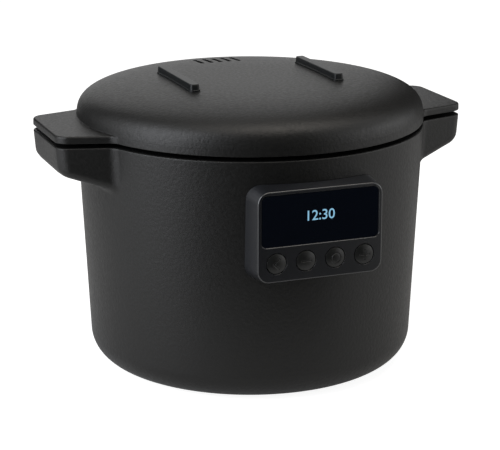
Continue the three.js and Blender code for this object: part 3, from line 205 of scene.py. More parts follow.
collar_bore = 119.6
collar_skirt_radius = 121
collar_thickness = 2.5
collar_edge = 0.3
seat_gap = 0.3  # between pieces that sit on each other
liner_bore = 121.3
liner_flange_radius = 129.25
liner_hole_radius = 76
liner_wall = 1
liner_fillet = 6
plate_radius = 90
plate_hole_radius = 16.5
plate_thickness = 9
plate_edge = 2
plate_leg_radius = 4
plate_leg_place = 83
groove_middle = 72
groove_half = 3.7
groove_depth = 5.4
turned_rings = (30, 41, 52, 63, 74)  # radii of the shallow rings in the heating plate's top
turned_ring_half = 0.7
turned_ring_depth = 0.4
sensor_radius = 15
sensor_skin = 2.2
sensor_skirt = 9
sensor_stem_radius = 4
sensor_collar_radius = 6.4
sensor_collar_thickness = 1.4
sensor_dish_radius = 9.5
sensor_dish_depth = 0.3
gasket_outer = 124.8
gasket_inner = 113.8
gasket_lip = 4
gasket_groove = 0.8
inner_plate_radius = 126
inner_plate_wall = 1.2
inner_plate_step_radius = 92
inner_plate_step = 2.5
inner_plate_slope = 6
steam_hole_radius = 2.6
steam_hole_pitch = 11
screw_hole_radius = 1.8
lid_screw_place = 100
lid_screw_head = (3, 1.2)  # radius and thickness
base_screw_place = 104.1
base_screw_head = (3.2, 1.1)
screw_shank_radius = 1.5
recess_reach, recess_half, recess_depth = 1.9, 0.4, 0.7  # of the cross in a screw's head
foot_place = 84
foot_radius = 9
foot_round = 1
foot_stem_radius = 3.9
foot_barb_radius = 4.8
quarters = np.radians([45, 135, 225, 315])

# Counts of rows, columns and steps in the grids
round_columns = 160
key_columns = 160
bore_columns = 64
foot_columns = 48
screw_columns = 32
cloth_columns = 24
quarter_spans = ((0, 11, 9), (11.3, 25.4, 48), (27, 90, 30))  # degrees from and to, and how many directions
arc_steps = 6
foot_arc_steps = 18
corner_arc_steps = 9
rows_below_ears, rows_up_ears, rows_to_rim = 12, 64, 8
inner_dome_rows, dome_rows, lid_side_rows, lid_shelf_rows = 22, 64, 5, 6
pod_side_rows = 6
key_face_rows = 56
halvings = 40
curve_samples = 4000

sharp_edge = 38  # degrees; a piece is shaded smooth over flatter edges


def around(count):
    """Directions evenly round the axis."""
    return np.linspace(0, 2 * math.pi, count, endpoint=False)


def eared_directions():
    """Directions round the axis that lie close together on the ears' sides and wide apart elsewhere."""
    quarter = np.concatenate([np.linspace(*span) for span in quarter_spans])
    half = np.concatenate([quarter, 180 - quarter[-2::-1]])[:-1]
    return np.radians(np.concatenate([half, half + 180]))


def surface(points, ends="fan"):
    """Vertices and faces of a grid [row, column, xyz] that closes round its columns. Rows run up the
    outside. The ends of a "ring" join each other; "fan" closes each end by triangles, "flat" by one face."""
    rows, columns = points.shape[:2]
    index = np.arange(rows * columns).reshape(rows, columns)
    lower = index if ends == "ring" else index[:-1]
    upper = np.roll(index, -1, axis=0) if ends == "ring" else index[1:]
    quads = np.stack([lower, np.roll(lower, -1, axis=1), np.roll(upper, -1, axis=1), upper], axis=-1)
    faces = quads.reshape(-1, 4).tolist()
    vertices = points.reshape(-1, 3)
    if ends == "flat":
        faces += [index[0, ::-1].tolist(), index[-1].tolist()]
    if ends == "fan":
        vertices = np.concatenate([vertices, points[[0, -1]].mean(axis=1)])
        under, over = len(vertices) - 2, len(vertices) - 1
        first, last = index[0], index[-1]
        faces += np.stack([np.roll(first, -1), first, np.full_like(first, under)], axis=-1).tolist()
        faces += np.stack([last, np.roll(last, -1), np.full_like(last, over)], axis=-1).tolist()
    return vertices, faces


def rounded(corners, closed=True, steps=arc_steps):
    """An outline through corners [x, y, radius], each with an arc of its radius that touches both sides."""
    points = []
    for place, (x, y, radius) in enumerate(corners):
        here = np.array([x, y], float)
        if radius == 0 or (not closed and place in (0, len(corners) - 1)):
            points.append(here[None])
            continue
        before = np.array(corners[place - 1][:2]) - here
        after = np.array(corners[(place + 1) % len(corners)][:2]) - here
        before /= np.linalg.norm(before)
        after /= np.linalg.norm(after)
        half = math.acos(before @ after) / 2
        centre = here + (before + after) / np.linalg.norm(before + after) * radius / math.sin(half)
        start = here + before * radius / math.tan(half) - centre
        end = here + after * radius / math.tan(half) - centre
        sweep = math.pi - 2 * half
        share = np.linspace(0, 1, steps + 1)[:, None]
        swung = np.sin((1 - share) * sweep) * start + np.sin(share * sweep) * end
        points.append(centre + swung / math.sin(sweep))
    return np.concatenate(points)


def rounded_rectangle(width, height, radius, side_steps=24):
    """Points of a rounded rectangle about its middle, anticlockwise, as many for any size."""
    turn = np.linspace(0, math.pi / 2, corner_arc_steps)
    middles = np.array([[1, 1], [-1, 1], [-1, -1], [1, -1]]) * [width / 2 - radius, height / 2 - radius]
    points = []
    for quarter, middle in enumerate(middles):
        angle = turn + quarter * math.pi / 2
        arc = radius * np.stack([np.cos(angle), np.sin(angle)], axis=1)
        share = np.linspace(0, 1, side_steps + 1)[1:-1, None]
        following = middles[(quarter + 1) % len(middles)]
        points += [middle + arc, middle + arc[-1] + share * (following - middle)]
    return np.concatenate(points)


def revolve(profile, turns):
    """A profile [radius, height] carried round the axis."""
    radius, height = profile[:, 0, None], profile[:, 1, None]
    return np.stack(np.broadcast_arrays(radius * np.cos(turns), radius * np.sin(turns), height), axis=-1)


def add_object(name, data):
    """A new object in the scene that shows a mesh, a text, a lamp or a camera."""
    made = bpy.data.objects.new(name, data)
    bpy.context.scene.collection.objects.link(made)
    return made


def mesh_object(name, vertices, faces):
    """A mesh object from vertices in millimetres."""
    mesh = bpy.data.meshes.new(name)
    mesh.from_pydata((vertices * MM).tolist(), [], faces)
    return add_object(name, mesh)


def make_object(name, points, ends="fan"):
    """A mesh object from a grid in millimetres about the pot's axis."""
    vertices, faces = surface(points, ends)
    return mesh_object(name, vertices + [0, axis_y, 0], faces)


def apply_modifiers(piece):
    """Puts a piece's modifiers into its mesh."""
    bpy.context.view_layer.update()
    ready = piece.evaluated_get(bpy.context.evaluated_depsgraph_get())
    mesh = bpy.data.meshes.new_from_object(ready)
    piece.modifiers.clear()
    piece.data = mesh


def carve(piece, cutters):
    """Takes the cutters' solids out of a piece."""
    for cutter in cutters:
        cutting = piece.modifiers.new("cut", "BOOLEAN")
        cutting.object = cutter
        cutting.operation = "DIFFERENCE"
        cutting.solver = "EXACT"
    apply_modifiers(piece)
    for cutter in cutters:
        bpy.data.objects.remove(cutter)


def dress(piece, body, finish, nodes):
    """Shades a piece smooth between its sharp edges, gives it its material and puts it in the frame."""
    piece.data.shade_smooth()
    piece.data.set_sharp_from_angle(angle=math.radians(sharp_edge))
    weighted = piece.modifiers.new("normals", "WEIGHTED_NORMAL")
    weighted.keep_sharp = True
    apply_modifiers(piece)
    piece.data.materials.clear()
    piece.data.materials.append(finish)
    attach(piece, body)
    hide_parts(*nodes)


# Distances to the body, negative inside


def join_round(a, b, radius):
    """Two distances as one shape, with a fillet of a radius where they meet."""
    near = np.hypot(np.maximum(radius - a, 0), np.maximum(radius - b, 0))
    return np.maximum(radius, np.minimum(a, b)) - near


def meet_round(a, b, radius):
    """What two distances have in common, with an edge rounded to a radius."""
    far = np.hypot(np.maximum(radius + a, 0), np.maximum(radius + b, 0))
    return np.minimum(-radius, np.maximum(a, b)) + far


def ear_plan_distance(x, y):
    """The ears in plan: a tip square to X and sides that widen towards the root."""
    tip = np.abs(x) - ear_reach
    side = np.abs(y) - ear_tip_half_width - ear_taper * (ear_reach - np.abs(x))
    return meet_round(tip, side / np.hypot(1, ear_taper), ear_tip_round)


def body_radius_at(z):
    """The body's outer radius along its straight taper."""
    widening = body_top_radius - body_foot_radius
    return body_foot_radius + widening * (z - body_under) / (body_top - body_under)


def body_distance(x, y, z):
    """The tapered body with its ears. An ear leans in on its way down; its underside rises to the tip."""
    leaning = np.abs(x) + ear_lean * (body_top - z)
    plan = ear_plan_distance(leaning, y)
    under = body_top - ear_root_depth + (leaning - ear_root_reach) * ear_rise - z
    sideways = np.clip((np.abs(y) - ear_tip_half_width + 2 * ear_tip_round) / (2 * ear_tip_round), 0, 1)
    edge = ear_nose_round + (ear_lower_round - ear_nose_round) * sideways
    ear = meet_round(plan, under / np.hypot(1, ear_rise), edge)
    return join_round(np.hypot(x, y) - body_radius_at(z), ear, ear_flare)


def lid_plan_distance(x, y, z):
    """The lid's outline, a circle with the ears' plan; the same at every height."""
    return join_round(np.hypot(x, y) - lid_radius, ear_plan_distance(x, y), ear_flare) + 0 * z


def outline_of(distance, turns, heights):
    """Where a surface lies in each direction: halves the range in which its distance changes sign."""
    shape = np.broadcast(turns, heights).shape
    near = np.full(shape, body_foot_radius / 2)
    far = np.full(shape, 2 * ear_reach)
    for _ in range(halvings):
        middle = (near + far) / 2
        inside = distance(middle * np.cos(turns), middle * np.sin(turns), heights) < 0
        near = np.where(inside, middle, near)
        far = np.where(inside, far, middle)
    return near * np.cos(turns), near * np.sin(turns)


def edge_of(distance, turns, z):
    """An outline in plan at a height, with its normals from the slopes of its distance."""
    x, y = outline_of(distance, turns, z)
    across = distance(x + slope_step, y, z) - distance(x - slope_step, y, z)
    along = distance(x, y + slope_step, z) - distance(x, y - slope_step, z)
    size = np.hypot(across, along)
    return x, y, across / size, along / size


def grid_of(x, y, z):
    """Rows and columns of points from coordinates that may each be a value, a row, a column or a grid."""
    return np.stack(np.broadcast_arrays(x, y, z), axis=-1)


def draw_in(edge, amount, z):
    """An outline drawn in along its normals by an amount, at a height."""
    x, y, along_x, along_y = edge
    return grid_of(x - amount * along_x, y - amount * along_y, z)


def outer_shell():
    """The body's wall: a foot fillet carried round, then at each height the outline of body and ears, the
    rim drawn in along the outline's normals, the collar's seam, and the inner wall back down to the mouth."""
    turns = eared_directions()
    foot = rounded([
        [shell_mouth_radius, body_under, 0],
        [body_foot_radius, body_under, foot_fillet],
        [body_radius_at(shoulder), shoulder, 0],
    ], closed=False, steps=foot_arc_steps)
    ear_low = body_top - ear_root_depth - ear_flare
    ear_under = body_top - ear_tip_depth + ear_nose_round
    rim_start = body_top - rim_round
    heights = np.concatenate([
        np.linspace(shoulder, ear_low, rows_below_ears)[1:],
        np.linspace(ear_low, ear_under, rows_up_ears)[1:],
        np.linspace(ear_under, rim_start, rows_to_rim)[1:],
    ])[:, None]
    outer = grid_of(*outline_of(body_distance, turns, heights), heights)
    edge = edge_of(body_distance, turns, rim_start)
    swing = np.linspace(0, math.pi / 2, arc_steps)[1:, None]
    rim = draw_in(edge, rim_round * (1 - np.cos(swing)), rim_start + rim_round * np.sin(swing))
    seam = draw_in(edge, rim_border, np.array([body_top, collar_low[2] + rim_round])[:, None])
    lip = body_under + shell_wall
    inner = rounded([
        [body_radius_at(collar_low[2]) - shell_wall, collar_low[2], 0],
        [body_foot_radius - shell_wall, lip, foot_fillet - shell_wall],
        [shell_mouth_radius, lip, 0],
    ], closed=False)
    points = np.concatenate([revolve(foot, turns), outer, rim, seam, revolve(inner, turns)])
    shell = make_object("shell_moulding", points, "ring")
    hole = rounded_rectangle(*inlet_hole_size, inlet_hole_round, side_steps=1)
    inlet_face = inlet_high[1] - axis_y
    depths = np.array([inlet_face + shell_wall, inlet_face - inlet_hole_depth])[:, None]
    carve(shell, [make_object("inlet_hole", facing(hole, depths, 0, inlet_middle_z)[::-1], "flat")])
    return shell


def dome_height(radius):
    """The lid's outer height at a radius: a power curve in radius and in height."""
    share = np.clip(radius / lid_radius, 0, 1)
    return dome_base + dome_rise * (1 - share**dome_power) ** (1 / dome_crown_power)


def dome_profile(inset, low, count):
    """The dome's curve, drawn in by an inset, from a height to just short of the crown, evenly along it."""
    swing = np.linspace(0, math.pi / 2, curve_samples)
    radius = (lid_radius - inset) * np.cos(swing) ** (2 / dome_power)
    height = dome_base + (dome_rise - inset) * np.sin(swing) ** (2 / dome_crown_power)
    radius, height = radius[height >= low], height[height >= low]
    gone = np.concatenate([[0], np.cumsum(np.hypot(np.diff(radius), np.diff(height)))])
    even = np.linspace(0, gone[-1], count, endpoint=False)
    return np.stack([np.interp(even, gone, radius), np.interp(even, gone, height)], axis=1)


def lid_cover():
    """The lid's wall: the inner dome down to the lower edge, out to the outline, up its side, over a bevel
    onto the ear's flat top, through a fillet into the outer dome. Away from the ears these rows close up."""
    turns = eared_directions()
    inner = dome_profile(lid_wall, lid_edge + lid_wall, inner_dome_rows)[::-1]
    inner = np.concatenate([inner, [[inner[-1, 0], lid_edge]]])
    edge = edge_of(lid_plan_distance, turns, 0)
    x, y, along_x, along_y = edge
    grown = np.clip((np.hypot(x, y) - lid_radius) / ear_fade, 0, 1)
    grown = grown**2 * (3 - 2 * grown)
    swing = np.linspace(0, math.pi / 2, arc_steps)[:, None]
    lower_z = lid_edge + lid_lower_round * (1 - np.cos(swing))
    lower = draw_in(edge, lid_lower_round * (1 - np.sin(swing)), lower_z)
    ear_top = lid_edge + lid_ear_thickness
    bevel = lid_ear_bevel * grown
    side_low = lid_edge + lid_lower_round
    share = np.linspace(0, 1, lid_side_rows)[1:, None]
    side_z = side_low + share * (ear_top - bevel - side_low)
    side = draw_in(edge, lid_radius - dome_radius(side_z), side_z)
    foot_reach = dome_radius(ear_top)
    base_x = x - (lid_radius - foot_reach) * along_x
    base_y = y - (lid_radius - foot_reach) * along_y
    swing = swing[1:]
    climb = row_climb * np.arange(1, len(swing) + 1)[:, None]
    over_z = ear_top - bevel * (1 - np.sin(swing)) + climb
    over = draw_in((base_x, base_y, along_x, along_y), bevel * (1 - np.cos(swing)), over_z)
    fillet = lid_foot_fillet * grown
    shelf_high = ear_top + climb[-1]
    start_x, start_y = base_x - bevel * along_x, base_y - bevel * along_y
    end_x, end_y = (foot_reach + fillet) * np.cos(turns), (foot_reach + fillet) * np.sin(turns)
    share = np.linspace(0, 1, lid_shelf_rows)[1:, None]
    climb = row_climb * np.arange(1, len(share) + 1)[:, None]
    shelf_x = start_x + share * (end_x - start_x)
    shelf_y = start_y + share * (end_y - start_y)
    shelf = grid_of(shelf_x, shelf_y, shelf_high + climb)
    shelf_high = shelf_high + climb[-1]
    reach = foot_reach + fillet * (1 - np.sin(swing))
    climb = row_climb * np.arange(1, len(swing) + 1)[:, None]
    bend_z = shelf_high + fillet * (1 - np.cos(swing)) + climb
    bend = grid_of(reach * np.cos(turns), reach * np.sin(turns), bend_z)
    dome = dome_profile(0, ear_top + 2 * lid_foot_fillet, dome_rows)
    points = np.concatenate([revolve(inner, turns), lower, side, over, shelf, bend, revolve(dome, turns)])
    lid = make_object("lid_moulding", points)
    carve(lid, steam_slot_cutters())
    return lid


def dome_radius(height):
    """The lid's outer radius at a height on its steep side."""
    share = np.clip((height - dome_base) / dome_rise, 0, 1)
    return lid_radius * (1 - share**dome_crown_power) ** (1 / dome_power)


def steam_slot_cutters():
    """Upright bars with half-round ends, one for each steam slot."""
    outline = rounded_rectangle(slot_width, slot_length, slot_width / 2 - row_climb, side_steps=2)
    heights = np.array([lid_edge, lid_crown + lid_wall])[:, None]
    middles = slot_pitch * (np.arange(slot_count) - (slot_count - 1) / 2)
    return [
        make_object("slot", grid_of(middle + outline[:, 0], slot_place + outline[:, 1], heights), "flat")
        for middle in middles
    ]


def lid_rail(side):
    """A rest rail: a rounded bar with a narrow ledge round its foot, which follows the dome; flat on top."""
    name = "right" if side > 0 else "left"
    middle_x = side * (rail_low[0] + rail_high[0]) / 2
    front, back = rail_low[1] - rail_front_extra, rail_high[1] + rail_back_extra
    middle_y = (front + back) / 2 - axis_y
    length = back - front
    top = rail_high[2]

    def ring(inset):
        outline = rounded_rectangle(rail_width - 2 * inset, length - 2 * inset, rail_round - inset)
        return middle_x + outline[:, 0], middle_y + outline[:, 1]

    x, y = ring(0)
    foot_z = dome_height(np.hypot(x, y))
    rows = [grid_of(x, y, foot_z - rail_sink), grid_of(x, y, foot_z + rail_ledge_height - rail_ledge / 3)]
    x, y = ring(rail_ledge / 3)
    rows.append(grid_of(x, y, foot_z + rail_ledge_height))
    x, y = ring(rail_ledge)
    rows.append(grid_of(x, y, foot_z + rail_ledge_height + row_climb))
    side_top = top - rail_bevel
    for share in (1 / 3, 2 / 3, 1):
        x, y = ring(rail_ledge + share * rail_draft)
        low = foot_z + rail_ledge_height
        rows.append(grid_of(x, y, low + share * (side_top - low)))
    for swing in np.linspace(0, math.pi / 2, arc_steps)[1:]:
        x, y = ring(rail_ledge + rail_draft + rail_bevel * (1 - math.cos(swing)))
        rows.append(grid_of(x, y, side_top + rail_bevel * math.sin(swing)))
    return make_object("rest_rail_" + name, np.stack(rows), "flat")


def facing(outline, depth, middle_x, middle_z):
    """An outline in X and Z set at a depth along Y."""
    return grid_of(middle_x + outline[:, 0], depth, middle_z + outline[:, 1])


def pod_housing():
    """The pod: a rounded rectangle carried from the body's wall, past a shadow groove, along drafted sides
    and over a bevel to the face, with the window's recess and four button holes cut in."""
    width, height = 2 * pod_half_width, pod_upper - pod_lower
    middle_z = (pod_lower + pod_upper) / 2

    def ring(inset):
        return rounded_rectangle(width - 2 * inset, height - 2 * inset, pod_round - inset)

    back = ring(-pod_draft)
    wall = -np.sqrt(body_radius_at(middle_z + back[:, 1]) ** 2 - back[:, 0] ** 2)
    narrow = ring(pod_groove - pod_draft)
    side_end = pod_face + pod_bevel
    rows = [
        facing(narrow, wall + pod_sink, 0, middle_z),
        facing(narrow, wall - pod_groove_height, 0, middle_z),
    ]
    start = wall - pod_groove_height
    for share in np.linspace(0, 1, pod_side_rows):
        rows.append(facing(ring(-pod_draft * (1 - share)), start + share * (side_end - start), 0, middle_z))
    for swing in np.linspace(0, math.pi / 2, arc_steps)[1:]:
        depth = side_end - pod_bevel * math.sin(swing)
        rows.append(facing(ring(pod_bevel * (1 - math.cos(swing))), depth, 0, middle_z))
    pod = make_object("pod_moulding", np.stack(rows), "flat")
    carve(pod, [window_cutter()] + [button_hole(x) for x in button_places])
    return pod


def window_cutter():
    """The window's recess, wider by a small bevel at the pod's face."""
    middle_z = (lens_lower + lens_upper) / 2
    depths = [pod_face + lens_recess, pod_face + lens_edge, pod_face, pod_face - lens_recess]
    widenings = [0, 0, lens_edge, lens_edge]
    rows = []
    for depth, widening in zip(depths, widenings):
        size = 2 * (lens_half_width + widening), lens_upper - lens_lower + 2 * widening
        outline = rounded_rectangle(*size, lens_round + widening, side_steps=1)
        rows.append(facing(outline, depth, 0, middle_z))
    return make_object("window", np.stack(rows), "flat")


def display_lens():
    """The window: a rounded plate with a softened front edge, just below the pod's face."""
    front = pod_face + lens_sink
    middle_z = (lens_lower + lens_upper) / 2
    depths = [pod_face + lens_recess, front + lens_edge, front + lens_edge / 4, front]
    insets = [0, 0, lens_edge / 4, lens_edge]
    rows = []
    for depth, inset in zip(depths, insets):
        drawn = inset + lens_gap
        size = 2 * (lens_half_width - drawn), lens_upper - lens_lower - 2 * drawn
        rows.append(facing(rounded_rectangle(*size, lens_round - drawn), depth, 0, middle_z))
    return make_object("display_window", np.stack(rows), "flat")


def disc_ring(radius, x, depth, turns):
    """Points on a circle that faces the front."""
    return grid_of(x + radius * np.cos(turns), depth, button_height + radius * np.sin(turns))


def button_hole(x):
    """A round hole through the pod's face, widened by a small bevel at its mouth."""
    radius = button_radius + button_ring
    turns = around(bore_columns)
    depths = [pod_face + hole_depth, pod_face + hole_edge, pod_face, pod_face - hole_edge]
    radii = [radius, radius, radius + hole_edge, radius + hole_edge]
    rows = [disc_ring(reach, x, depth, turns) for reach, depth in zip(radii, depths)]
    return make_object("hole", np.stack(rows), "flat")


def to_line(x, z, start, end):
    """Distance from points to a straight stroke."""
    start, end = np.array(start), np.array(end)
    along = end - start
    share = np.clip(((x - start[0]) * along[0] + (z - start[1]) * along[1]) / (along @ along), 0, 1)
    return np.hypot(x - start[0] - share * along[0], z - start[1] - share * along[1])


def symbol_distance(name, x, z):
    """How far a point lies from the middle of a symbol's stroke: a chevron, a dash, a ring or a cross."""
    if name == "back":
        upper = to_line(x, z, [chevron_back, 0], [chevron_front, symbol_half])
        return np.minimum(upper, to_line(x, z, [chevron_back, 0], [chevron_front, -symbol_half]))
    level = to_line(x, z, [-symbol_half, 0], [symbol_half, 0])
    if name == "minus":
        return level
    if name == "start":
        return np.abs(np.hypot(x, z) - symbol_half)
    return np.minimum(level, to_line(x, z, [0, -symbol_half], [0, symbol_half]))


def button(name, x):
    """A round key: a straight side, a rounded edge and a crowned face with its symbol sunk into it."""
    turns = around(key_columns)
    reach = button_radius - button_edge
    side = [disc_ring(button_radius, x, pod_face + button_depth, turns)]
    swing = np.linspace(0, math.pi / 2, arc_steps)[:, None]
    edge_radius = reach + button_edge * np.cos(swing)
    edge = disc_ring(edge_radius, x, pod_face + button_edge * (1 - np.sin(swing)), turns)
    radius = np.linspace(reach, 0, key_face_rows, endpoint=False)[1:, None]
    local_x, local_z = radius * np.cos(turns), radius * np.sin(turns)
    away = symbol_distance(name, local_x, local_z)
    sunk = np.clip((stroke_half + stroke_edge - away) / (2 * stroke_edge), 0, 1)
    crown = button_crown * (1 - (radius / reach) ** 2)
    depth = pod_face - crown + engraving * sunk**2 * (3 - 2 * sunk)
    face = grid_of(x + local_x, depth, button_height + local_z)
    return make_object(name + "_key", np.concatenate([side, edge, face]), "fan")


def display_digits():
    """Lit digits in a plain bold face, a hair proud of the window."""
    text = bpy.data.curves.new("digits", "FONT")
    text.body = digit_words
    text.size = digit_height / digit_font_share * MM
    text.offset = digit_weight * MM
    text.extrude = digit_proud * MM
    text.align_x = "CENTER"
    text.resolution_u = arc_steps
    written = add_object("digits", text)
    bpy.context.view_layer.update()
    mesh = bpy.data.meshes.new_from_object(written.evaluated_get(bpy.context.evaluated_depsgraph_get()))
    bpy.data.objects.remove(written)
    upright = Matrix.Rotation(math.pi / 2, 4, "X")
    place = Vector((digit_middle_x, pod_face + lens_sink + axis_y, digit_middle_z - digit_height / 2)) * MM
    mesh.transform(Matrix.Translation(place) @ upright)
    return add_object("display_digits", mesh)


def inner_pot():
    """The pot: a drafted round vessel with a wide foot fillet and a flat rolled rim."""
    rim_top = pot_high[2]
    under = pot_low[2]
    profile = rounded([
        [pot_wall, under, 0],
        [pot_base_radius, under, pot_fillet],
        [pot_radius, rim_top - pot_rim_thickness, pot_rim_round],
        [pot_rim_radius, rim_top - pot_rim_thickness, pot_rim_round],
        [pot_rim_radius, rim_top, pot_rim_round],
        [pot_radius - pot_wall, rim_top, pot_wall],
        [pot_base_radius - pot_wall, under + pot_wall, pot_fillet - pot_wall],
        [pot_wall, under + pot_wall, 0],
    ], closed=False)
    return make_object("coated_pot", revolve(profile, around(round_columns)))


def joined(name, pieces):
    """Several loose solids as one object."""
    together = bmesh.new()
    for piece in pieces:
        together.from_mesh(piece.data)
        bpy.data.objects.remove(piece)
    mesh = bpy.data.meshes.new(name)
    together.to_mesh(mesh)
    together.free()
    return add_object(name, mesh)


def turned_ring(name, corners):
    """A ring: a closed outline [radius, height, rounding] carried round the axis."""
    return make_object(name, revolve(rounded(corners), around(round_columns)), "ring")


def turned_solid(name, corners, middle=(0, 0), count=screw_columns):
    """A solid: an outline [radius, height, rounding] from its low end to its high end, carried round an
    upright line; its ends close in a fan."""
    profile = rounded(corners, closed=False)
    return make_object(name, revolve(profile, around(count)) + [*middle, 0])


def top_collar():
    """The collar: a skirt round the pot's bore, a plate under it whose outline is the body's with its ears,
    drawn in along the outline's normals, and a rounded edge down into the bore."""
    turns = eared_directions()
    low, top = collar_low[2], collar_high[2]
    under = top - collar_thickness
    border = rim_border + seat_gap
    heights = np.array([under, top - collar_edge, top])[:, None]
    drawn = np.array([border, border, border + collar_edge])[:, None]
    skirt = np.array([[collar_bore, low], [collar_skirt_radius, low], [collar_skirt_radius, under]])
    corners = [[collar_skirt_radius, top, 0], [collar_bore, top, rim_round], [collar_bore, low, 0]]
    bore = rounded(corners, closed=False)[:-1]
    plate = draw_in(edge_of(body_distance, turns, body_top - rim_round), drawn, heights)
    points = np.concatenate([revolve(skirt, turns), plate, revolve(bore, turns)])
    return make_object("collar", points, "ring")


def inner_liner():
    """The liner: a sheet can with an open floor, a fillet at its foot and a flat flange at its top."""
    low, top = liner_low[2], liner_high[2]
    return turned_ring("liner_can", [
        [liner_hole_radius, low, 0],
        [liner_bore + liner_wall, low, liner_fillet],
        [liner_bore + liner_wall, top - liner_wall, 0],
        [liner_flange_radius, top - liner_wall, 0],
        [liner_flange_radius, top, 0],
        [liner_bore, top, liner_wall],
        [liner_bore, low + liner_wall, liner_fillet - liner_wall],
        [liner_hole_radius, low + liner_wall, 0],
    ])


def heating_plate():
    """The plate: a turned disc with a groove below for its element, shallow rings in its top, four legs."""
    top = heater_high[2]
    under = top - plate_thickness
    groove_top = under + groove_depth
    corners = [
        [plate_hole_radius, under, 0],
        [groove_middle - groove_half, under, 0],
        [groove_middle - groove_half, groove_top, groove_half / 2],
        [groove_middle + groove_half, groove_top, groove_half / 2],
        [groove_middle + groove_half, under, 0],
        [plate_radius, under, plate_edge],
        [plate_radius, top, plate_edge],
    ]
    for radius in turned_rings[::-1]:
        corners += [
            [radius + turned_ring_half, top, 0],
            [radius, top - turned_ring_depth, 0],
            [radius - turned_ring_half, top, 0],
        ]
    corners.append([plate_hole_radius, top, plate_edge / 2])
    leg = [[plate_leg_radius, heater_low[2], 0], [plate_leg_radius, under + plate_edge, 0]]
    legs = [
        turned_solid("leg", leg, (plate_leg_place * math.cos(turn), plate_leg_place * math.sin(turn)))
        for turn in around(4)
    ]
    return joined("turned_plate", [turned_ring("disc", corners)] + legs)


def sensor_cap():
    """The sensor's cap: a stem with a collar, a thin skirt and a face with a shallow dish."""
    low, top = cap_low[2], cap_high[2]
    skin = top - sensor_skin
    return turned_solid("sensor_head", [
        [sensor_collar_radius, low, 0],
        [sensor_collar_radius, low + sensor_collar_thickness, 0],
        [sensor_stem_radius, low + sensor_collar_thickness, 0],
        [sensor_stem_radius, skin, 0],
        [sensor_radius - sensor_skin, skin, 0],
        [sensor_radius - sensor_skin, top - sensor_skirt, 0],
        [sensor_radius, top - sensor_skirt, 0],
        [sensor_radius, top, sensor_skin / 2],
        [sensor_dish_radius + sensor_dish_depth, top, 0],
        [sensor_dish_radius, top - sensor_dish_depth, 0],
        [sensor_dish_depth, top - sensor_dish_depth, 0],
    ], count=bore_columns)


def lid_gasket():
    """The gasket: a ring that narrows down to a lip, with a shallow groove on each flank."""
    low, top = gasket_low[2], gasket_high[2]
    middle = (gasket_outer + gasket_inner) / 2
    half_up = (low + top) / 2
    return turned_ring("gasket_ring", [
        [middle - gasket_lip / 2, low, gasket_groove],
        [middle + gasket_lip / 2, low, gasket_groove],
        [gasket_outer - gasket_groove, half_up, gasket_groove],
        [gasket_outer, half_up + gasket_groove, gasket_groove / 2],
        [gasket_outer, top, gasket_groove / 2],
        [gasket_inner, top, gasket_groove / 2],
        [gasket_inner, half_up + gasket_groove, gasket_groove / 2],
        [gasket_inner + gasket_groove, half_up, gasket_groove],
    ])


def lid_inner_plate():
    """The pressed plate: a raised middle, a slope, a flat border with a rolled edge, and holes for screws
    and steam."""
    low = plate_low[2]
    step = inner_plate_step_radius
    bend = 2 * inner_plate_wall
    plate = turned_solid("pressed_plate", [
        [inner_plate_wall, low + inner_plate_step, 0],
        [step, low + inner_plate_step, bend],
        [step + inner_plate_slope, low, bend],
        [inner_plate_radius, low, inner_plate_wall / 2 - row_climb],
        [inner_plate_radius, low + inner_plate_wall, inner_plate_wall / 2 - row_climb],
        [step + inner_plate_slope + inner_plate_wall, low + inner_plate_wall, bend],
        [step + inner_plate_wall, low + inner_plate_wall + inner_plate_step, bend],
        [inner_plate_wall, low + inner_plate_wall + inner_plate_step, 0],
    ], count=round_columns)
    hole_low = low - inner_plate_wall
    hole_high = low + 2 * inner_plate_step + inner_plate_wall
    holes = [
        (screw_hole_radius, lid_screw_place * math.cos(turn), lid_screw_place * math.sin(turn))
        for turn in quarters
    ]
    holes += [(steam_hole_radius, steam_hole_pitch * share, slot_place) for share in (-1, 0, 1)]
    carve(plate, [
        turned_solid("hole", [[radius, hole_low, 0], [radius, hole_high, 0]], (x, y))
        for radius, x, y in holes
    ])
    return plate


def screw(name, low, head, length, middle):
    """A screw, head down: a shank, a rounded head and a cross sunk in its face."""
    head_radius, head_thickness = head
    made = turned_solid(name, [
        [row_climb, low, 0],
        [head_radius, low, head_thickness / 2],
        [head_radius, low + head_thickness, 0],
        [screw_shank_radius, low + head_thickness, 0],
        [screw_shank_radius, low + head_thickness + length, 0],
    ], middle)
    bars = []
    for across, along in ((recess_reach, recess_half), (recess_half, recess_reach)):
        corner = np.array([[1, 1], [-1, 1], [-1, -1], [1, -1]]) * [across, along] + middle
        heights = np.array([low - recess_depth, low + recess_depth])[:, None]
        bars.append(make_object("bar", grid_of(corner[:, 0], corner[:, 1], heights), "flat"))
    carve(made, bars)
    return made


def foot(name, middle):
    """A rubber foot: a round pad with a softened edge, a neck through the tray and a barb above it."""
    pad_top = tray_low[2] - seat_gap
    barb_low = foot_high[2] - foot_stem_radius
    return turned_solid(name, [
        [row_climb, 0, 0],
        [foot_radius, 0, foot_round],
        [foot_radius, pad_top, foot_round / 2],
        [foot_stem_radius, pad_top, 0],
        [foot_stem_radius, barb_low, 0],
        [foot_barb_radius, barb_low, 0],
        [foot_stem_radius, foot_high[2], 0],
    ], middle, count=foot_columns)


# Materials


def linear(text):
    """An sRGB hex colour as linear red, green and blue, and a one, by the sRGB curve."""
    channels = np.array([int(text[place : place + 2], 16) for place in (0, 2, 4)]) / 255
    light = np.where(channels <= 0.04045, channels / 12.92, ((channels + 0.055) / 1.055) ** 2.4)
    return (*light.tolist(), 1)


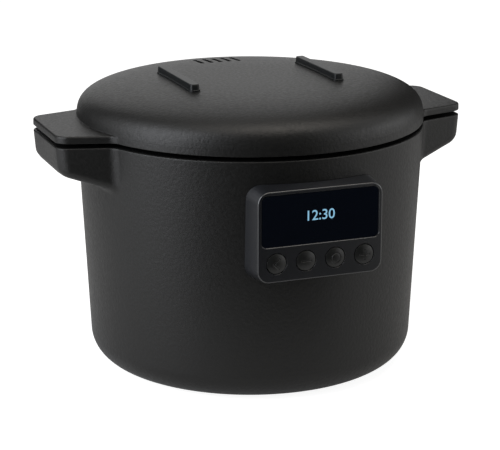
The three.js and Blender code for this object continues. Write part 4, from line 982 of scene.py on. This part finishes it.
def add(tree, kind, inputs=None, **settings):
    """A node of a kind with its settings. An input is a value or the socket that feeds it."""
    made = tree.nodes.new(kind)
    for name, value in settings.items():
        setattr(made, name, value)
    for name, value in (inputs or {}).items():
        if isinstance(value, bpy.types.NodeSocket):
            tree.links.new(value, made.inputs[name])
        else:
            made.inputs[name].default_value = value
    return made


def new_material(name):
    """An empty node material, its tree and its output's surface socket."""
    made = bpy.data.materials.new(name)
    made.use_nodes = True
    made.node_tree.nodes.clear()
    out = add(made.node_tree, "ShaderNodeOutputMaterial")
    return made, made.node_tree, out.inputs["Surface"]


drift_grains = 30  # how many grains wide a drift of colour is
grain_detail, drift_detail = 3.0, 2.0


def grained(name, colour, light_colour, roughness, grain, depth, metallic=0.0, level=0.5, spread=0.06):
    """A surface with a random grain, a width and a depth in millimetres: noise moves its height, roughness
    drifts with it by the spread, and a broader noise mixes the two colours."""
    made, tree, out = new_material(name)
    place = add(tree, "ShaderNodeTexCoord").outputs["Object"]
    fine = add(tree, "ShaderNodeTexNoise", {
        "Vector": place,
        "Scale": 1 / (grain * MM),
        "Detail": grain_detail,
    })
    broad = add(tree, "ShaderNodeTexNoise", {
        "Vector": place,
        "Scale": 1 / (drift_grains * grain * MM),
        "Detail": drift_detail,
    })
    mixed = add(tree, "ShaderNodeMix", {
        "Factor": broad.outputs["Fac"],
        "A": linear(colour),
        "B": linear(light_colour),
    }, data_type="RGBA")
    rough = add(tree, "ShaderNodeMapRange", {
        "Value": fine.outputs["Fac"],
        "To Min": roughness - spread,
        "To Max": roughness + spread,
    })
    bump = add(tree, "ShaderNodeBump", {
        "Height": fine.outputs["Fac"],
        "Distance": depth * MM,
        "Strength": 1.0,
    })
    shader = add(tree, "ShaderNodeBsdfPrincipled", {
        "Base Color": mixed.outputs["Result"],
        "Roughness": rough.outputs["Result"],
        "Normal": bump.outputs["Normal"],
        "Metallic": metallic,
        "Specular IOR Level": level,
    })
    tree.links.new(shader.outputs["BSDF"], out)
    return made


# ABS moulded in spark-eroded steel: the tool's etched skin leaves a fine random grain that scatters light, so
# walls look matt and highlights are wide and soft. The real grain is about 0.3 mm wide and is drawn 2.5 mm
# wide, because a finer one doesn't show in the render.
matt_shell = grained(
    "spark-eroded matt ABS", "0f0f0e", "131312", roughness=0.46, grain=2.5, depth=0.22, level=0.33,
    spread=0.12,
)
# ABS moulded in polished steel: smooth and a little blue, with a soft sheen that runs along the pod's
# bevels. Its faint flow marks of about 0.2 mm are drawn 0.7 mm wide.
satin_trim = grained(
    "satin moulded ABS", "0e1013", "111318", roughness=0.31, grain=0.7, depth=0.01, level=0.88
)
# ABS moulded in lightly blasted steel: darker than the pod in the same light, so the rails stand out from the
# dome by their edges alone. Blast marks of about 0.2 mm are drawn 0.9 mm wide.
rail_finish = grained(
    "satin moulded rail", "0e1011", "121415", roughness=0.42, grain=0.9, depth=0.02, level=0.3
)
# ABS moulded in coarsely blasted steel, black plastic with next to no sheen. Its colour is set darker than
# the body's as painted shade, so the seam between lid and body and the steam vent stay black. Blast marks of
# about 0.2 mm are drawn 0.8 mm wide.
painted_shade_trim = grained("dull ABS darkened as painted shade", "060606", "080808", roughness=0.75, grain=0.8, depth=0.02, level=0.1)
# ABS moulded in fine-blasted steel: a dark crown with one weak highlight, in which the sunk symbol shows as a
# change of slope. Blast marks of about 0.2 mm are drawn 0.9 mm wide.
key_finish = grained("matt moulded key", "0d0e0d", "111211", roughness=0.43, grain=0.9, depth=0.03, level=0.4)
# Cast acrylic dyed through and polished: near black, flat and clear in its reflections. It has no relief, and
# its tint drifts slowly across the plate.
smoked_window = grained(
    "smoked acrylic", "080c13", "0a0e16", roughness=0.06, grain=2.0, depth=0.0, spread=0.01
)
# Sprayed and baked non-stick coat over aluminium: dark grey with a slight metal glint, and a soft sheen that
# drops down the drafted wall. The spray's peel is about 0.8 mm wide.
pot_coating = grained(
    "non-stick coating", "2b2c2d", "343536", roughness=0.38, grain=0.8, depth=0.02, metallic=0.3
)
# Cold-rolled stainless sheet and tube: pale and neutral, with clear but blurred reflections. Roll marks of
# about 0.1 mm are drawn 0.5 mm wide.
sheet_steel = grained(
    "rolled stainless steel", "b4b7ba", "c2c5c8", roughness=0.3, grain=0.5, depth=0.005, metallic=1.0
)
# Die-cast and turned aluminium: a greyer metal whose skin is slightly uneven, so it looks dull beside the
# sheet steel. The casting's skin varies over 1.2 mm.
cast_aluminium = grained(
    "cast aluminium", "9b9ea1", "aeb1b4", roughness=0.48, grain=1.2, depth=0.05, metallic=1.0
)
# Bright zinc plate on steel, for screws, the clip, the spring and its cup: cool and shiny. Plating crystals
# of about 0.05 mm are drawn 0.4 mm wide.
zinc_steel = grained(
    "zinc-plated steel", "b9bdc4", "c9ccd0", roughness=0.28, grain=0.4, depth=0.003, metallic=1.0
)
# Moulded food-grade silicone: an even mid grey with a wide, weak sheen. Its mould's texture of about 0.1 mm
# is drawn 0.8 mm wide.
silicone = grained("moulded silicone", "7e8283", "8b8f90", roughness=0.6, grain=0.8, depth=0.01)
# Moulded rubber: black and fully matt. Its mould's texture of about 0.1 mm is drawn 0.6 mm wide.
foot_rubber = grained("moulded rubber", "121212", "181818", roughness=0.8, grain=0.6, depth=0.03)
# Laminated glass-epoxy board under printed green solder mask: a half-gloss green, mottled about 1 mm wide by
# the glass weave below.
circuit_board = grained("glass-epoxy board", "1b5233", "226040", roughness=0.4, grain=1.0, depth=0.01)
# Moulded, epoxy-filled cases of relay, capacitor, fuse, display and switches: dark blue-grey and half matt.
# Their mould's texture of about 0.1 mm is drawn 0.6 mm wide.
component = grained("epoxy-filled case", "20252c", "2a3038", roughness=0.5, grain=0.6, depth=0.01)
# Enamelled copper wire wound on the transformer: a warm metal, its skin broken up about 0.3 mm wide, as wide
# as its wire.
copper_winding = grained(
    "enamelled copper", "a8693c", "bf7d4a", roughness=0.35, grain=0.3, depth=0.03, metallic=1.0
)
# Turned brass pins: yellow and shiny. Tool marks of about 0.1 mm are drawn 0.4 mm wide.
pin_brass = grained("turned brass", "b7964f", "c6a864", roughness=0.3, grain=0.4, depth=0.004, metallic=1.0)
# Woven glass sleeve over the mains leads and the ribbon: cream and matt, with relief about 0.4 mm wide, as
# its threads are.
lead_sleeve = grained("woven glass sleeve", "b8b2a1", "cfc9b9", roughness=0.7, grain=0.4, depth=0.05)


def lit_digits():
    """A lit display behind a pale blue filter: each stroke glows evenly and keeps its colour in any light."""
    made, tree, out = new_material("backlit pale blue")
    shader = add(tree, "ShaderNodeBsdfPrincipled", {
        "Base Color": linear("0a0e12"),
        "Roughness": 0.3,
        "Emission Color": linear("86b9d6"),
        "Emission Strength": 1.0,
    })
    tree.links.new(shader.outputs["BSDF"], out)
    return made


finishes = {
    "body_moulding": matt_shell,
    "trim_moulding": satin_trim,
    "display_glass": smoked_window,
    "button_moulding": key_finish,
    "pot_coating": pot_coating,
    "sheet_steel": sheet_steel,
    "cast_aluminium": cast_aluminium,
    "zinc_steel": zinc_steel,
    "silicone": silicone,
    "foot_rubber": foot_rubber,
    "circuit_board": circuit_board,
    "component": component,
    "copper_winding": copper_winding,
    "pin_brass": pin_brass,
    "lead_sleeve": lead_sleeve,
}

# CAD nodes that are shown as they are get their slot's finish
for subpart in frame["record"]["subparts"]:
    node_object = frame["nodes"][subpart["node"]]
    node_object.data.materials.clear()
    node_object.data.materials.append(finishes[subpart["material_slot"]])

# The steam box shows through the lid's slots; it gets the near-black trim as painted shade, so the slots look
# black
frame["nodes"]["steam_vent"].data.materials[0] = painted_shade_trim

# Finer pieces, each with its body, finish and the CAD nodes that it stands for
dress(outer_shell(), "base", matt_shell, ["outer_shell"])
dress(lid_cover(), "lid", matt_shell, ["lid_cover"])
for side, rail_name in ((-1, "lid_rail_left"), (1, "lid_rail_right")):
    dress(lid_rail(side), "lid", rail_finish, [rail_name])
dress(pod_housing(), "base", satin_trim, ["pod_housing"])
dress(display_lens(), "base", smoked_window, ["display_lens"])
digits = display_digits()
digits.data.materials.append(lit_digits())
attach(digits, "base")
for key, place in zip(("back", "minus", "start", "plus"), button_places):
    dress(button(key, place), key + "_key", key_finish, [key + "_button"])
dress(inner_pot(), "pot", pot_coating, ["inner_pot"])
# The collar gets the near-black trim as painted shade in the seam round the pot
dress(top_collar(), "base", painted_shade_trim, ["top_collar"])
dress(inner_liner(), "base", sheet_steel, ["inner_liner"])
dress(heating_plate(), "base", cast_aluminium, ["heating_plate"])
dress(sensor_cap(), "sensor", cast_aluminium, ["sensor_cap"])
dress(lid_gasket(), "lid", silicone, ["lid_gasket"])
dress(lid_inner_plate(), "lid", sheet_steel, ["lid_inner_plate"])
for number, turn in enumerate(quarters, 1):
    direction = np.array([math.cos(turn), math.sin(turn)])
    rubber_foot = foot(f"rubber_foot_{number}", foot_place * direction)
    dress(rubber_foot, "base", foot_rubber, [f"foot_{number}"])
    screws = (("base", base_screw_place, base_screw_head), ("lid", lid_screw_place, lid_screw_head))
    for body, place, head in screws:
        node = f"{body}_screw_{number}"
        low, high = extent(node)
        length = high[2] - low[2] - head[1]
        cross_screw = screw(f"{body}_cross_screw_{number}", low[2], head, length, place * direction)
        dress(cross_screw, body, zinc_steel, [node])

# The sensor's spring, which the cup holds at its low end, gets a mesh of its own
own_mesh(frame["nodes"]["sensor_spring"])


# Camera, from the photograph's view: degrees, and millimetres about the pot's axis
view_azimuth = -20.893
view_elevation = 15.986
view_roll = -0.05
view_distance = 1462.55
view_aim_height = 107.3
view_side_step = 0.05
focal_pixels = 1773
picture_width = 500
sensor_width = 36


def place_camera():
    """A camera that looks at the aim point from the view's direction, rolled a little about its own axis."""
    azimuth, elevation, roll = (math.radians(angle) for angle in (view_azimuth, view_elevation, view_roll))
    level = math.cos(elevation)
    back = Vector((math.sin(azimuth) * level, -math.cos(azimuth) * level, math.sin(elevation)))
    right = Vector((math.cos(azimuth), math.sin(azimuth), 0))
    up = back.cross(right)
    aim = Vector((0, axis_y, view_aim_height))
    place = (aim + back * view_distance + right * view_side_step) * MM
    turned_right = right * math.cos(roll) + up * math.sin(roll)
    turned_up = up * math.cos(roll) - right * math.sin(roll)
    data = bpy.data.cameras.new("camera")
    data.sensor_width = sensor_width
    data.lens = focal_pixels * sensor_width / picture_width
    camera = add_object("camera", data)
    turn = Matrix((turned_right, turned_up, back)).transposed().to_4x4()
    camera.matrix_world = Matrix.Translation(place) @ turn
    bpy.context.scene.camera = camera


def softbox(name, turn, rise, distance, size, level, colour):
    """A rectangular lamp that faces the object's middle, at an angle round the axis and an angle up; its
    level is how bright its face looks next to a white wall."""
    turn, rise = math.radians(turn), math.radians(rise)
    away = Vector((math.cos(turn) * math.cos(rise), math.sin(turn) * math.cos(rise), math.sin(rise)))
    data = bpy.data.lights.new(name, "AREA")
    data.shape = "RECTANGLE"
    data.size, data.size_y = np.array(size) * MM
    data.energy = level * math.pi * data.size * data.size_y
    data.color = linear(colour)[:3]
    lamp = add_object(name, data)
    lamp.location = (away * distance + Vector((0, axis_y, view_aim_height))) * MM
    lamp.rotation_euler = away.to_track_quat("Z", "Y").to_euler()
    lamp.visible_camera = False


place_camera()
softbox("overhead", turn=-66, rise=75, distance=1600, size=(1400, 900), level=2.5, colour="fff6ea")
softbox("left", turn=-167, rise=23, distance=1150, size=(800, 1170), level=4.7, colour="f5f8ff")
softbox("right", turn=-20, rise=11, distance=1500, size=(1300, 560), level=1.6, colour="ffffff")

# Black cloth that hangs round the set, so that only the openings between its lengths show in the shell
cloth_reach = 1300
cloth_start = 320  # where the length on the floor in front of the object begins
runner_start = 1.6 * cloth_start  # where the length on the floor to the right begins
front_top, side_top = 2650, 3180
lintel = 1900  # low edge of the cloth over the rear opening
black_cloth, tree, out = new_material("charcoal cloth")
felt = add(tree, "ShaderNodeBsdfDiffuse", {"Color": linear("161616")})
tree.links.new(felt.outputs[0], out)


def hang_cloth(name, start, end, corners):
    """A length of black cloth: a profile [radius, height, rounding] carried round the axis between two
    angles. Only reflections meet it, so it casts no shadow."""
    turns = np.radians(np.linspace(start, end, cloth_columns))
    points = revolve(rounded(corners, closed=False), turns) + [0, axis_y, 0]
    rows, columns = points.shape[:2]
    index = np.arange(rows * columns).reshape(rows, columns)
    faces = np.stack([index[:-1, :-1], index[:-1, 1:], index[1:, 1:], index[1:, :-1]], axis=-1)
    cloth = mesh_object(name, points.reshape(-1, 3), faces.reshape(-1, 4).tolist())
    cloth.data.materials.append(black_cloth)
    cloth.visible_camera = False
    cloth.visible_diffuse = False
    cloth.visible_shadow = False


full_length = [[cloth_reach, MM, 0], [cloth_reach, side_top, 0]]
hang_cloth("front_cloth", start=-147, end=-63, corners=[
    [cloth_start, MM, 0],
    [cloth_reach, MM, cloth_reach / 4],
    [cloth_reach, front_top, 0],
])
hang_cloth("right_cloth", start=14, end=56, corners=full_length)
hang_cloth("right_runner", start=32, end=60, corners=[[runner_start, MM, 0], [cloth_reach, MM, 0]])
hang_cloth("rear_cloth", start=56, end=103, corners=[[cloth_reach, lintel, 0], [cloth_reach, side_top, 0]])
hang_cloth("left_cloth", start=103, end=142, corners=full_length)

# White walls all round the set: full to the camera, less in reflections, and a weak light on the object
wall_mirrored = 0.88  # where a reflection's strength lies between the light on the object and full
wall_light = 0.3
world = bpy.data.worlds.new("studio")
bpy.context.scene.world = world
world.use_nodes = True
world.node_tree.nodes.clear()
rays = add(world.node_tree, "ShaderNodeLightPath").outputs
mirrored = add(world.node_tree, "ShaderNodeMath", {
    0: rays["Is Glossy Ray"],
    1: wall_mirrored,
}, operation="MULTIPLY")
seen = add(world.node_tree, "ShaderNodeMath", {
    0: rays["Is Camera Ray"],
    1: mirrored.outputs[0],
}, operation="MAXIMUM")
seen = add(world.node_tree, "ShaderNodeMath", {
    0: seen.outputs[0],
    1: rays["Is Transmission Ray"],
}, operation="MAXIMUM")
strength = add(world.node_tree, "ShaderNodeMapRange", {
    "Value": seen.outputs[0],
    "To Min": wall_light,
    "To Max": 1.0,
})
walls = add(world.node_tree, "ShaderNodeBackground", {
    "Color": (1, 1, 1, 1),
    "Strength": strength.outputs["Result"],
})
add(world.node_tree, "ShaderNodeOutputWorld", {"Surface": walls.outputs[0]})

# White paper under the object, lit so that the camera sees it as white as the walls
floor_half = 4000
floor_drop = 0.1  # keeps the floor clear of the feet
floor_seen = 0.9  # its own glow to the camera, on top of the light that falls on it
floor_mirrored = 0.27  # its glow in reflections
floor_points = np.array([[-1, -1, 0], [1, -1, 0], [1, 1, 0], [-1, 1, 0]]) * floor_half - [0, 0, floor_drop]
floor = mesh_object("floor", floor_points, [(0, 1, 2, 3)])
floor_finish, tree, out = new_material("white paper sweep")
rays = add(tree, "ShaderNodeLightPath").outputs
mirrored = add(tree, "ShaderNodeMath", {
    0: rays["Is Glossy Ray"],
    1: floor_mirrored,
}, operation="MULTIPLY")
glow = add(tree, "ShaderNodeMath", {
    0: rays["Is Camera Ray"],
    1: floor_seen,
    2: mirrored.outputs[0],
}, operation="MULTIPLY_ADD")
paper = add(tree, "ShaderNodeBsdfDiffuse", {"Color": linear("bcbcbb")})
shine = add(tree, "ShaderNodeEmission", {"Strength": glow.outputs[0]})
both = add(tree, "ShaderNodeAddShader", {0: paper.outputs[0], 1: shine.outputs[0]})
tree.links.new(both.outputs[0], out)
floor.data.materials.append(floor_finish)

bpy.context.scene.view_settings.view_transform = "Standard"
